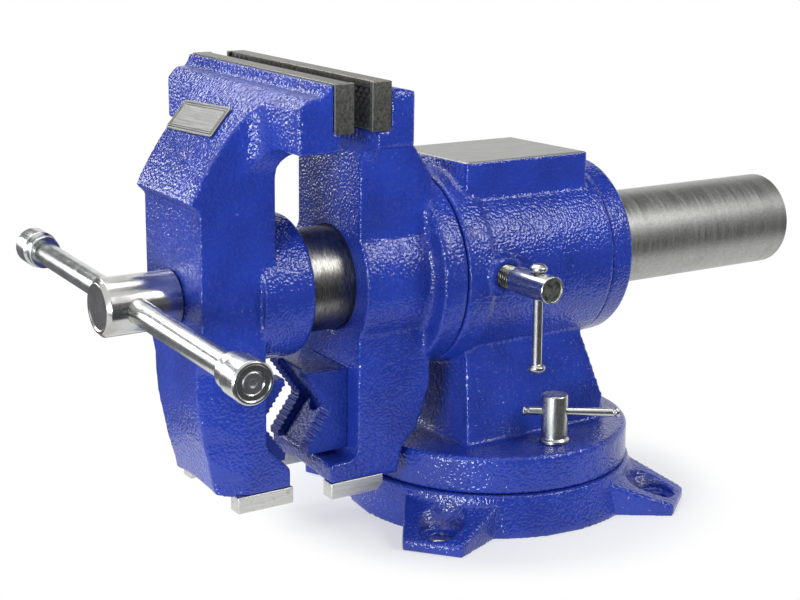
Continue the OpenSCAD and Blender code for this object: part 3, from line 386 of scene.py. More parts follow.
def placed(name: str, data: bpy.types.ID) -> Piece:
    """Put data into a new object of the scene.

    Args:
        name: the object's name.
        data: its mesh, lamp or camera.

    Returns:
        The object.
    """
    piece = bpy.data.objects.new(name, data)
    bpy.context.scene.collection.objects.link(piece)
    return piece


def stored(name: str, bm: Mesh) -> Piece:
    """Put a mesh into a new object of the scene.

    Args:
        name: the object's name.
        bm: the mesh; it is freed.

    Returns:
        The object.
    """
    mesh = bpy.data.meshes.new(name)
    bm.to_mesh(mesh)
    bm.free()
    return placed(name, mesh)


def coated(piece: Piece, material: Material) -> Piece:
    """Give a whole piece one finish, in place of any other.

    Args:
        piece: the object.
        material: its finish.

    Returns:
        The same object.
    """
    piece.data.materials.clear()
    piece.data.materials.append(material)
    return piece


def finished(name: str, bm: Mesh, place: Matrix, material: Material, sharp: float = 32.0) -> Piece:
    """Store a mesh in metres, in its place, with smooth faces between its sharp edges.

    Args:
        name: the object's name.
        bm: the mesh in millimetres; it is freed.
        place: where the mesh goes, in millimetres.
        material: its finish.
        sharp: the angle in degrees from which an edge counts as sharp.

    Returns:
        The object, at the origin.
    """
    bm.transform(Matrix.Scale(MM, 4) @ place)
    if place.determinant() < 0:
        bmesh.ops.reverse_faces(bm, faces=bm.faces)
    mark_sharp(bm, sharp)
    return coated(stored(name, bm), material)


def settled(piece: Piece, sharp: float | None = None) -> Piece:
    """Turn a piece with live modifiers into a plain mesh and drop the modifiers.

    Args:
        piece: the object to settle.
        sharp: the angle from which its edges are sharp, or None to leave the shading.

    Returns:
        The same object with its final mesh.
    """
    graph = bpy.context.evaluated_depsgraph_get()
    mesh = bpy.data.meshes.new_from_object(piece.evaluated_get(graph))
    old, piece.data = piece.data, mesh
    piece.modifiers.clear()
    bpy.data.meshes.remove(old)
    mesh.name = piece.name
    if sharp is not None:
        bm = bmesh.new()
        bm.from_mesh(mesh)
        bmesh.ops.remove_doubles(bm, verts=bm.verts, dist=1e-7)
        mark_sharp(bm, sharp)
        bm.to_mesh(mesh)
        bm.free()
    return piece


def carved(piece: Piece, *tools: Piece) -> Piece:
    """Cut tools out of a piece and remove them; what they bare gets the piece's own finish.

    Args:
        piece: the object that is cut.
        *tools: closed meshes that say what goes.

    Returns:
        The same object, cut.
    """
    material = piece.data.materials[0]
    for tool in tools:
        cut = piece.modifiers.new("cut", "BOOLEAN")
        cut.operation, cut.solver, cut.object = "DIFFERENCE", "EXACT", tool
    settled(piece, sharp=32.0)
    for tool in tools:
        bpy.data.objects.remove(tool)
    return coated(piece, material)


def joined(name: str, pieces: Sequence[Piece]) -> Piece:
    """Put several plain meshes, each in one finish, into one object.

    Args:
        name: the new object's name.
        pieces: objects at the origin; they are removed.

    Returns:
        The object that holds them all.
    """
    bm, materials = bmesh.new(), []
    for piece in pieces:
        first = len(bm.faces)
        bm.from_mesh(piece.data)
        bm.faces.ensure_lookup_table()
        if piece.data.materials[0] not in materials:
            materials.append(piece.data.materials[0])
        for face in bm.faces[first:]:
            face.material_index = materials.index(piece.data.materials[0])
    whole = stored(name, bm)
    for material in materials:
        whole.data.materials.append(material)
    for piece in pieces:
        bpy.data.objects.remove(piece)
    return whole


# Geometry trees


class Recipe(Tree):
    """A geometry tree with named inputs, which makes what repeats or follows a rule."""

    def __init__(self, name: str, inputs: dict[str, tuple[str, Any]]) -> None:
        """Start the tree and its interface.

        Args:
            name: what the tree makes.
            inputs: for each named input, its socket type and default value.
        """
        super().__init__(bpy.data.node_groups.new(name, "GeometryNodeTree"))
        face = self.tree.interface
        face.new_socket(name="Geometry", in_out="INPUT", socket_type="NodeSocketGeometry")
        self.keys: dict[str, str] = {}
        for label, (kind, value) in {**inputs, "Finish": ("Material", None)}.items():
            socket = face.new_socket(name=label, in_out="INPUT", socket_type=f"NodeSocket{kind}")
            if value is not None:
                socket.default_value = value
            self.keys[label] = socket.identifier
        face.new_socket(name="Geometry", in_out="OUTPUT", socket_type="NodeSocketGeometry")
        self.given = self.add(Kind.GIVEN).node.outputs

    def close(self, geometry: Socket) -> Recipe:
        """End the tree: real geometry in the given finish.

        Args:
            geometry: what the tree has made.

        Returns:
            The recipe itself, ready for use.
        """
        real = self.add(Kind.REALIZE, geometry)
        self.add(Kind.RESULT, self.add(Kind.DRESS, real, self.given["Finish"]))
        return self

    def make(self, values: dict[str, Any], points: Sequence[Corner] = ((0, 0, 0),)) -> Mesh:
        """Run the tree once.

        Args:
            values: the inputs, by their names.
            points: the points that the tree starts from.

        Returns:
            The result as a plain mesh, in the units of the inputs.
        """
        bm = bmesh.new()
        for point in points:
            bm.verts.new(point)
        carrier = stored(self.tree.name, bm)
        modifier = carrier.modifiers.new(self.tree.name, "NODES")
        modifier.node_group = self.tree
        for label, value in values.items():
            modifier[self.keys[label]] = value
        settled(carrier)
        bm = bmesh.new()
        bm.from_mesh(carrier.data)
        bpy.data.objects.remove(carrier)
        return bm


def thread_recipe() -> Recipe:
    """Build the tree that rolls a sheet into a screw thread along its own upright axis.

    Returns:
        The recipe.
    """
    recipe = Recipe("screw_thread", {
        "Length": ("Float", 20.0), "Radius": ("Float", 5.0), "Depth": ("Float", 0.8),
        "Pitch": ("Float", 1.5), "Rows": ("Int", 80), "Columns": ("Int", 49)})
    add, given = recipe.add, recipe.given
    sheet = add(Kind.GRID, given["Length"], math.tau, given["Rows"], given["Columns"])
    along, angle, _ = add(Kind.SPLIT, add(Kind.POSITION)).node.outputs
    height = add(Kind.ADD, along, add(Kind.MULTIPLY, given["Length"], 0.5))
    turns = add(Kind.SUBTRACT, add(Kind.DIVIDE, height, given["Pitch"]),
                add(Kind.DIVIDE, angle, math.tau))
    doubled = add(Kind.MULTIPLY, add(Kind.FRACTION, turns), 2.0)
    wave = add(Kind.ABSOLUTE, add(Kind.SUBTRACT, doubled, 1.0))
    # Trapezoid flanks: the crest and the root each take a quarter of the pitch
    flank = add(Kind.CLAMP, add(Kind.MULTIPLY, add(Kind.SUBTRACT, wave, 0.25), 2.0))
    radius = add(Kind.SUBTRACT, given["Radius"], add(Kind.MULTIPLY, given["Depth"], flank))
    rolled = add(Kind.JOIN, add(Kind.MULTIPLY, radius, add(Kind.COSINE, angle)),
                 add(Kind.MULTIPLY, radius, add(Kind.SINE, angle)), height)
    return recipe.close(add(Kind.MERGE, add(Kind.MOVE, sheet, rolled), 0.001))


def serration_recipe() -> Recipe:
    """Build the tree that sets worn diamond pyramids over a jaw plate's gripping face.

    Returns:
        The recipe.
    """
    recipe = Recipe("diamond_serrations", {
        "Width": ("Float", 120.0), "Height": ("Float", 17.0), "Columns": ("Int", 99),
        "Rows": ("Int", 15), "Base": ("Float", 1.2), "Crest": ("Float", 0.2),
        "Depth": ("Float", 0.9), "Screw Spacing": ("Float", 75.0),
        "Screw Clearance": ("Float", 7.0), "Seed": ("Int", 4)})
    add, given = recipe.add, recipe.given
    grid = add(Kind.GRID, given["Width"], given["Height"], given["Columns"], given["Rows"])
    index = add(Kind.INDEX)
    column = add(Kind.FLOOR, add(Kind.DIVIDE, add(Kind.ADD, index, 0.5), given["Rows"]))
    row = add(Kind.SUBTRACT, index, add(Kind.MULTIPLY, column, given["Rows"]))
    odd = add(Kind.GREATER, add(Kind.MODULO, add(Kind.ADD, row, column), 2.0), 0.5)
    across, up, _ = add(Kind.SPLIT, add(Kind.POSITION)).node.outputs
    aside = add(Kind.SUBTRACT, add(Kind.ABSOLUTE, across),
                add(Kind.MULTIPLY, given["Screw Spacing"], 0.5))
    reach = add(Kind.ROOT, add(Kind.ADD, add(Kind.MULTIPLY, aside, aside),
                               add(Kind.MULTIPLY, up, up)))
    at_screw = add(Kind.LESS, reach, given["Screw Clearance"])
    kept = add(Kind.DELETE, grid, add(Kind.MAXIMUM, odd, at_screw))
    pyramid = add(Kind.CONE, 4, given["Crest"], given["Base"], given["Depth"])
    # Wear leaves each crest at its own height
    worn = add(Kind.JOIN, 1.0, 1.0, add(Kind.RANDOM, 0.86, 1.0, given["Seed"]))
    return recipe.close(add(Kind.STAND, kept, pyramid, None, worn))


def screw_recipe() -> Recipe:
    """Build the tree that sets one screw on every point, each turned its own way.

    Returns:
        The recipe.
    """
    recipe = Recipe("screws_on_points", {
        "Screw": ("Object", None), "Facing": ("Vector", (0.0, 0.0, 0.0)), "Seed": ("Int", 7)})
    add, given = recipe.add, recipe.given
    stood = add(Kind.STAND, add(Kind.POINTS, given["Geometry"]), add(Kind.PIECE, given["Screw"]),
                given["Facing"])
    turn = add(Kind.JOIN, None, None, add(Kind.RANDOM, 0.0, math.tau, given["Seed"]))
    return recipe.close(add(Kind.TURN, stood, turn, True))


def rolled_thread(recipe: Recipe, length: float, radius: float, depth: float, pitch: float,
                  place: Matrix, material: Material) -> Piece:
    """Roll one length of thread with closed ends.

    Args:
        recipe: the thread's tree.
        length: the thread's length.
        radius: its radius over the crests.
        depth: how deep it is cut.
        pitch: its pitch.
        place: the place of its first end.
        material: its finish.

    Returns:
        The thread.
    """
    made = recipe.make({"Length": length, "Radius": radius, "Depth": depth, "Pitch": pitch,
                        "Rows": int(length / pitch * 10), "Columns": 49, "Finish": material})
    bmesh.ops.holes_fill(made, edges=[e for e in made.edges if e.is_boundary], sides=0)
    bmesh.ops.recalc_face_normals(made, faces=made.faces)
    return finished("thread", made, place, material, 40)


# Finishes


class Shader(Tree):
    """A material under construction, with patterns of a real size on Object coordinates."""

    def __init__(self, label: str) -> None:
        """Start an empty material.

        Args:
            label: its name, after the real material and how its surface was made.
        """
        self.material = bpy.data.materials.new(label)
        self.material.use_nodes = True
        super().__init__(self.material.node_tree)

    @functools.cached_property
    def place(self) -> Socket:
        """Give the Object coordinates."""
        return self.add(Kind.PLACE)

    def cells(self, size: float, detail: float = 2.0, stretch: Corner = (1, 1, 1)) -> Socket:
        """Give a noise pattern whose cells have a real size.

        Args:
            size: the size of a cell in millimetres.
            detail: how many finer layers it has.
            stretch: how much denser the pattern runs along each axis.

        Returns:
            The noise value.
        """
        mapped = self.add(Kind.STRETCH, self.place, stretch)
        return self.add(Kind.NOISE, mapped, 1 / (size * MM), detail)

    def close(self, surface: Socket) -> Material:
        """End the tree with its surface and give the material."""
        self.add(Kind.TO_MATERIAL, surface)
        return self.material


@dataclass(frozen=True)
class HammerEnamel:
    """Stoved alkyd enamel on a sand casting: thick and glossy, with pebbles of 1 to 2 mm
    that break every reflection into pale grains; a painted highlight also lightens their crests."""

    label: str = "blue_hammer_enamel_on_cast_iron"
    colour: str = "223a9e"
    shade: str = "1c3088"
    # Painted highlight: the pale blue that the pebbles' crests are blended towards
    crest_highlight: str = "4a5cb6"
    shade_pool: float = 26.0
    pebble: float = 1.15
    pebble_depth: float = 0.45
    swell: float = 8.0
    swell_depth: float = 0.35
    roughness: float = 0.11
    gloss: float = 0.5
    bare_above: float = 0.0
    scoops: bool = False
    scoop_middle: Corner = (55.15, 55.15, 15.8)
    scoop_rim: Pair = (12.1, 12.6)
    grime_heights: Pair = (4.5, 9.0)
    paint_edge: Pair = (0.22, 0.34)

    def build(self) -> Material:
        """Build the enamel, with its bare machined top or its grime where it has them.

        Returns:
            The material.
        """
        shader = Shader(self.label)
        add, cells = shader.add, shader.cells
        pebbles, swells = cells(self.pebble, 0.6), cells(self.swell)
        pool = add(Kind.RAMP, cells(self.shade_pool, 3.0), 0.35, 0.65)
        colour = add(Kind.BLEND, pool, self.shade, self.colour)
        # Painted highlight: each pebble's crest is blended towards a pale blue, standing in for the
        # sparkle of reflections on it
        crest = add(Kind.RAMP, pebbles, 0.45, 0.72, 0.0, 0.1)
        colour = add(Kind.BLEND, crest, colour, self.crest_highlight)
        rough = add(Kind.RAMP, pebbles, 0.3, 0.7, self.roughness - 0.05, self.roughness + 0.06)
        relief = add(Kind.BUMP, pebbles, self.pebble_depth * MM,
                     add(Kind.BUMP, swells, self.swell_depth * MM))
        metallic: Any = 0.0
        if self.scoops:
            # Oil and dust settle in the lugs' round scoops, all four equally far from the middle
            level = add(Kind.LEVEL, shader.place, math.radians(-BASE_TURN))
            middle = tuple(v * MM for v in self.scoop_middle)
            away = add(Kind.DISTANCE, add(Kind.FOLD, level), middle)
            inside = add(Kind.RAMP, away, *(v * MM for v in self.scoop_rim), 1.0, 0.0)
            height = add(Kind.SPLIT, shader.place).node.outputs["Z"]
            low = add(Kind.RAMP, height, *(v * MM for v in self.grime_heights), 1.0, 0.25)
            specks = add(Kind.RAMP, cells(1.8), 0.36, 0.6, 0.2, 0.9)
            dust = add(Kind.MULTIPLY, add(Kind.MULTIPLY, low, inside), specks)
            colour = add(Kind.BLEND, dust, colour, "3a3238")
            rough = add(Kind.ADD, rough, add(Kind.MULTIPLY, dust, 0.25))
        if self.bare_above:
            # The anvil's top is milled through the paint, so the paint ends in a ragged line
            height = add(Kind.SPLIT, shader.place).node.outputs["Z"]
            ragged = add(Kind.ADD, height, add(Kind.MULTIPLY, cells(1.2), 0.6 * MM))
            bare = add(Kind.RAMP, ragged, *((self.bare_above + v) * MM for v in self.paint_edge))
            lines = cells(0.9, 3.0, (0.06, 1.0, 1.0))
            steel = add(Kind.BLEND, add(Kind.RAMP, lines, 0.3, 0.7), "8e8e8c", "a6a6a4")
            spots = add(Kind.RAMP, cells(3.5, 4.0), 0.62, 0.75, 0.0, 0.5)
            colour = add(Kind.BLEND, bare, colour, add(Kind.BLEND, spots, steel, "7a7974"))
            metallic = add(Kind.MULTIPLY, bare, 0.82)
            painted = add(Kind.MULTIPLY, rough, add(Kind.SUBTRACT, 1.0, bare))
            rough = add(Kind.ADD, painted, add(Kind.MULTIPLY, bare, 0.46))
            relief = add(Kind.BLEND_RELIEF, bare, relief, add(Kind.BUMP, lines, 0.02 * MM))
        return shader.close(add(Kind.SURFACE, colour, metallic, rough, relief, self.gloss, 1.52))


@dataclass(frozen=True)
class LathedSteel:
    """Mild steel turned in a lathe: rings run round the piece, so that light spreads along it."""

    label: str = "turned_mild_steel"
    light: str = "b6b6b3"
    dark: str = "a4a4a1"
    ring: float = 0.6
    stretch: Corner = (1.0, 0.03, 0.03)
    roughness: float = 0.42
    relief: float = 0.006
    grain: float = 0.0
    oiled_before: float = 0.0

    def build(self) -> Material:
        """Build the turned steel with its rings, faint stains and oil.

        Returns:
            The material.
        """
        shader = Shader(self.label)
        add, cells = shader.add, shader.cells
        rings, wide = cells(self.ring, 3.0, self.stretch), cells(self.ring * 6, 2.0, self.stretch)
        tone = add(Kind.MULTIPLY, add(Kind.ADD, rings, wide), 0.5)
        colour = add(Kind.BLEND, add(Kind.RAMP, tone, 0.3, 0.7), self.dark, self.light)
        stain = add(Kind.RAMP, cells(14.0, 4.0), 0.55, 0.8, 0.0, 0.3)
        colour = add(Kind.BLEND, stain, colour, "77736b")
        rough = add(Kind.RAMP, rings, 0.3, 0.7, self.roughness - 0.07, self.roughness + 0.1)
        relief = add(Kind.BUMP, rings, self.relief * MM)
        if self.grain:
            # The drawn skin shows through the turning as a fine grey grain
            grain = cells(self.grain, 3.0)
            colour = add(Kind.BLEND, add(Kind.RAMP, grain, 0.4, 0.65, 0.0, 0.35), colour, "7c7b74")
            relief = add(Kind.BUMP, grain, 0.012 * MM, relief)
        if self.oiled_before:
            # Old oil stays on the stretch between the jaws, thin over each ring's crest
            film = add(Kind.RAMP, add(Kind.SPLIT, shader.place), (self.oiled_before - 1) * MM,
                       (self.oiled_before + 1) * MM, 1.0, 0.0)
            patchy = add(Kind.RAMP, cells(1.6, 3.0, (3.0, 0.5, 0.5)), 0.3, 0.7, 0.27, 0.85)
            colour = add(Kind.BLEND, add(Kind.MULTIPLY, film, patchy), colour, "4c4a43")
            rough = add(Kind.SUBTRACT, rough, add(Kind.MULTIPLY, film, 0.08))
        return shader.close(add(Kind.SURFACE, colour, 1.0, rough, relief))


@dataclass(frozen=True)
class BrightPlate:
    """Nickel-chrome plate on drawn steel: bright but soft, with hair scratches and dull spots."""

    label: str = "polished_chrome_plate"
    colour: str = "cbcdca"
    tint: str = "a3a6a3"
    roughness: float = 0.2
    scratch: Corner = (1.0, 0.05, 1.0)

    def build(self) -> Material:
        """Build the plate with its scratches and dull spots.

        Returns:
            The material.
        """
        shader = Shader(self.label)
        add, cells = shader.add, shader.cells
        hairs = cells(0.35, 3.0, self.scratch)
        dull = add(Kind.RAMP, cells(5.0, 4.0), 0.5, 0.75)
        cloud = add(Kind.RAMP, cells(9.0), 0.4, 0.7, 0.0, 0.6)
        rough = add(Kind.ADD, add(Kind.RAMP, hairs, 0.4, 0.75, self.roughness, self.roughness + 0.06),
                    add(Kind.MULTIPLY, dull, 0.08))
        relief = add(Kind.BUMP, hairs, 0.002 * MM, add(Kind.BUMP, cells(9.0, 1.0), 0.012 * MM))
        colour = add(Kind.BLEND, cloud, self.colour, self.tint)
        return shader.close(add(Kind.SURFACE, colour, 1.0, rough, relief))


@dataclass(frozen=True)
class GroundSteel:
    """Hardened steel ground flat: fine straight lines one way, with darker wear in blotches."""

    label: str = "surface_ground_steel"
    light: str = "d8d8d5"
    dark: str = "c3c3bf"
    roughness: float = 0.32
    stretch: Corner = (0.04, 1.0, 0.6)
    stain: str = "6f6d66"

    def build(self) -> Material:
        """Build the ground steel with its lines and stains.

        Returns:
            The material.
        """
        shader = Shader(self.label)
        add, cells = shader.add, shader.cells
        lines = cells(0.5, 3.0, self.stretch)
        colour = add(Kind.BLEND, add(Kind.RAMP, lines, 0.35, 0.65), self.dark, self.light)
        blotch = add(Kind.RAMP, cells(3.0, 4.0), 0.6, 0.8, 0.0, 0.5)
        colour = add(Kind.BLEND, blotch, colour, self.stain)
        rough = add(Kind.RAMP, lines, 0.3, 0.7, self.roughness - 0.06, self.roughness + 0.1)
        relief = add(Kind.BUMP, lines, 0.015 * MM)
        return shader.close(add(Kind.SURFACE, colour, 1.0, rough, relief))


@dataclass(frozen=True)
class DullSteel:
    """Heat-treated steel with its furnace skin or oil black left on: dull, dark and mottled."""

    label: str = "oil_blackened_steel"
    light: str = "5b5c5a"
    dark: str = "434443"
    metallic: float = 0.6
    roughness: float = 0.52
    grain: float = 0.8
    depth: float = 0.03
    worn_above: float = 0.0

    def build(self) -> Material:
        """Build the dull skin, with its ground upper face where it has one.

        Returns:
            The material.
        """
        shader = Shader(self.label)
        add, cells = shader.add, shader.cells
        grain = cells(self.grain, 4.0)
        colour = add(Kind.BLEND, add(Kind.RAMP, grain, 0.35, 0.65), self.dark, self.light)
        mottle = add(Kind.RAMP, cells(11.0, 3.0), 0.5, 0.75, 0.0, 0.45)
        colour = add(Kind.BLEND, mottle, colour, self.dark)
        rough = add(Kind.RAMP, grain, 0.3, 0.7, self.roughness - 0.08, self.roughness + 0.12)
        metallic: Any = self.metallic
        if self.worn_above:
            # The upper face is ground after hardening, level with its fellow
            _, across, height = add(Kind.SPLIT, shader.place).node.outputs
            tilt = add(Kind.MULTIPLY, across, math.tan(math.radians(HEAD_ROLL)))
            ground = add(Kind.RAMP, add(Kind.SUBTRACT, height, tilt),
                         (self.worn_above - 0.35) * MM, (self.worn_above - 0.2) * MM)
            lines = add(Kind.RAMP, cells(0.6, 3.0, (1.0, 0.04, 1.0)), 0.3, 0.7)
            colour = add(Kind.BLEND, ground, colour, add(Kind.BLEND, lines, "62615c", "7b7972"))
            metallic = add(Kind.ADD, self.metallic, add(Kind.MULTIPLY, ground, 0.25))
            rough = add(Kind.SUBTRACT, rough, add(Kind.MULTIPLY, ground, 0.1))
        relief = add(Kind.BUMP, grain, self.depth * MM)
        return shader.close(add(Kind.SURFACE, colour, metallic, rough, relief))


@dataclass(frozen=True)
class TurnedBrass:
    """Turned brass gone slightly brown, soft enough to press on the shank without marking it."""

    label: str = "turned_brass"
    light: str = "c8a860"
    dark: str = "8a6f38"

    def build(self) -> Material:
        """Build the brass.

        Returns:
            The material.
        """
        shader = Shader(self.label)
        add, rings = shader.add, shader.cells(0.7, 3.0)
        colour = add(Kind.BLEND, add(Kind.RAMP, rings, 0.35, 0.65), self.dark, self.light)
        rough = add(Kind.RAMP, rings, 0.3, 0.7, 0.3, 0.45)
        return shader.close(add(Kind.SURFACE, colour, 1.0, rough, add(Kind.BUMP, rings, 0.01 * MM)))


class Paints:
    """The shop's finishes, each built once."""

    def __init__(self) -> None:
        """Build every finish that the vise needs."""
        self.enamel = HammerEnamel().build()
        self.anvil_enamel = HammerEnamel("blue_hammer_enamel_with_milled_anvil",
                                         bare_above=162.2).build()
        self.base_enamel = HammerEnamel("blue_hammer_enamel_with_grime", scoops=True).build()
        # Painted shade: the toothed vee jaws get a darker copy of the blue enamel for the shadow in
        # their vees and under the jaws' bosses; its shallower pebbles and low gloss are surface
        # settings
        self.shaded_vee_enamel = HammerEnamel("thin_blue_enamel_on_toothed_jaws", "203792", "1a2c7a",
                                       pebble_depth=0.3, swell_depth=0.1, roughness=0.26,
                                       gloss=0.16).build()
        self.tube = LathedSteel(grain=1.1, oiled_before=-88.0).build()
        self.zinc = LathedSteel("bright_drawn_steel", "b5b6b6", "8c8d8e",
                                stretch=(0.03, 1.0, 1.0)).build()
        self.chrome = BrightPlate().build()
        self.zinc_plate = BrightPlate("bright_zinc_plate", "c4c4c0", "9c9b95", 0.26,
                                      (1.0, 1.0, 0.05)).build()
        self.faced = BrightPlate("faced_and_plated_end", "c9ccd0", "a9acb0", 0.34).build()
        self.satin = BrightPlate("nickel_plated_spindle", "c9c9c7", "9e9b95", 0.15).build()
        self.ground = GroundSteel().build()
        self.brushed = GroundSteel("brushed_aluminium_plate", "929290", "7a7a78", 0.42,
                                   (1.0, 0.03, 1.0), "8b8a86").build()
        self.threaded = DullSteel("oiled_screw_thread", "9a9a94", "5d5d58", 1.0, 0.3).build()
        self.skin = DullSteel("forging_skin_in_a_dish", "6d706a", "3b3e3a", roughness=0.4,
                              grain=1.4, depth=0.12).build()
        self.jaw_steel = DullSteel("hardened_jaw_steel", "62625c", "464643", grain=1.1, depth=0.16,
                                   worn_above=AXIS_HEIGHT + JAW_RISE).build()
        self.teeth = DullSteel("oil_blackened_serrations", "3a3a3c", "1d1d20",
                               roughness=0.42).build()
        self.black = DullSteel("black_oxide_screws", "303032", "19191b", roughness=0.4,
                               grain=0.5).build()
        self.ink = DullSteel("stoved_black_line", "2c2b2a", "1c1b1b", 0.0, 0.5).build()
        self.brass = TurnedBrass().build()


@dataclass
class Bench:
    """Where finished pieces are put on the frame and reported."""

    frame: dict[str, Any]
    paints: Paints
    count: int = 0

    def put(self, piece: Piece, node: str, slot: str) -> None:
        """Let a piece stand for a CAD node on that node's body.

        Args:
            piece: the finished object at the origin.
            node: the CAD node that it stands for.
            slot: the record's material slot; not used.
        """
        body = self.frame["nodes"][node]["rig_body"]
        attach(piece, body)
        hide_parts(node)
        self.count += 1
        LOG.info("%s rides on %s, %d faces", piece.name, body, len(piece.data.polygons))

    def keep(self, node: str, material: Material) -> None:
        """Leave a CAD node as it is and give it a better finish.

        Args:
            node: the CAD node.
            material: its finish.
        """
        coated(self.frame["nodes"][node], material)
        LOG.info("%s keeps its solid", node)


# Sub-assemblies


@dataclass
class Castings:
    """The iron castings: their solids with every arris softened as a mould and thick paint do."""

    bench: Bench
    coarse: float = 0.85
    medium: float = 0.68
    fine: float = 0.4

    def cast(self, node: str, name: str, paint: Material, cell: float, rounds: int,
             place: Matrix) -> Piece:
        """Recast one solid in small cells that lie square to its faces, and smooth it.

        Args:
            node: the CAD node.
            name: the new piece's name.
            paint: its finish.
            cell: the size of a cell in millimetres.
            rounds: how often the surface is smoothed.
            place: the frame that the casting's flat faces are square to, in millimetres.

        Returns:
            The softened piece.
        """
        square = Matrix.Scale(MM, 4) @ place @ Matrix.Scale(1 / MM, 4)
        bm = bmesh.new()
        bm.from_mesh(self.bench.frame["nodes"][node].data)
        bm.transform(square.inverted())
        bmesh.ops.remove_doubles(bm, verts=bm.verts, dist=1e-6)
        area = sum(face.calc_area() for face in bm.faces)
        cell = max(cell, math.sqrt(area / (MOST_TRIANGLES / TRIANGLES_PER_CELL)) / MM)
        piece = stored(name, bm)
        remesh = piece.modifiers.new("cells", "REMESH")
        remesh.mode, remesh.voxel_size, remesh.use_smooth_shade = "VOXEL", cell * MM, True
        smooth = piece.modifiers.new("soften", "SMOOTH")
        smooth.factor, smooth.iterations = 0.5, rounds
        settled(piece)
        triangles = 2 * len(piece.data.polygons)
        if triangles > MOST_TRIANGLES:
            fewer = piece.modifiers.new("fewer", "DECIMATE")
            fewer.ratio = MOST_TRIANGLES / triangles
            settled(piece)
        piece.data.transform(square)
        for face in piece.data.polygons:
            face.use_smooth = True
        LOG.info("%s: cells of %.2f mm, %d triangles", name, cell, triangles)
        return coated(piece, paint)

    def build(self) -> None:
        """Cast and paint every iron piece."""
        paints, head = self.bench.paints, head_space()
        for node, name, paint, cell, rounds, place in (
                ("base_plate", "swivel_base_casting", paints.base_enamel, self.coarse, 2,
                 turned(BASE_TURN, "Z")),
                ("swivel_body", "pedestal_casting", paints.anvil_enamel, self.coarse, 2, shift()),
                ("fixed_jaw", "fixed_jaw_casting", paints.enamel, self.coarse, 2, head),
                ("front_jaw", "front_jaw_casting", paints.enamel, self.coarse, 2, head),
                ("retaining_ring", "rear_ring_casting", paints.enamel, self.medium, 2, head),
                # The vee jaws take the darker enamel, which is painted shade
                ("fixed_pipe_jaw", "fixed_vee_jaw", paints.shaded_vee_enamel, self.fine, 1, head),
                ("front_pipe_jaw", "front_vee_jaw", paints.shaded_vee_enamel, self.fine, 1, head)):
            self.bench.put(self.cast(node, name, paint, cell, rounds, place), node, "blue_enamel")


@dataclass
class ScrewRow:
    """Countersunk hexagon-socket screws of one node, one on each point of the head's frame."""

    bench: Bench
    node: str
    diameter: float
    length: float
    points: Sequence[Corner]
    facing: Corner

    def screw(self) -> Piece:
        """Make one screw, its head's top at height zero.

        Returns:
            The screw, in millimetres.
        """
        shaft, head, socket = self.diameter / 2, self.diameter * HEAD_SHARE, self.diameter * 0.3
        cone, count = head - shaft, 48

        def ring(height: float, radius: float, hexagon: bool = False) -> Ring:
            """Give a round or hexagonal ring at a height."""
            made = []
            for k in range(count):
                angle = math.tau * k / count
                turn = angle % (math.pi / 3) - math.pi / 6
                reach = radius / math.cos(turn) if hexagon else radius
                made.append(Vector((reach * math.cos(angle), reach * math.sin(angle), height)))
            return made
        return stored("screw", loft([
            ring(-self.length, shaft * 0.8), ring(-self.length + shaft * 0.2, shaft),
            ring(-cone, shaft), ring(-0.12, head - 0.12), ring(0, head - 0.3),
            ring(0, socket + 0.12, True), ring(-0.14, socket, True),
            ring(-cone * 1.1, socket, True), ring(-cone * 1.25, 0.1)]))

    def build(self, recipe: Recipe) -> None:
        """Set the screws on their points and put them on the frame.

        Args:
            recipe: the tree that sets them.
        """
        one, black = self.screw(), self.bench.paints.black
        made = recipe.make({"Screw": one, "Facing": tuple(math.radians(a) for a in self.facing),
                            "Seed": len(self.points) + 3, "Finish": black}, self.points)
        bpy.data.objects.remove(one)
        piece = finished(self.node + "_set", made, head_space(), black, 25.0)
        self.bench.put(piece, self.node, "dark_fasteners")


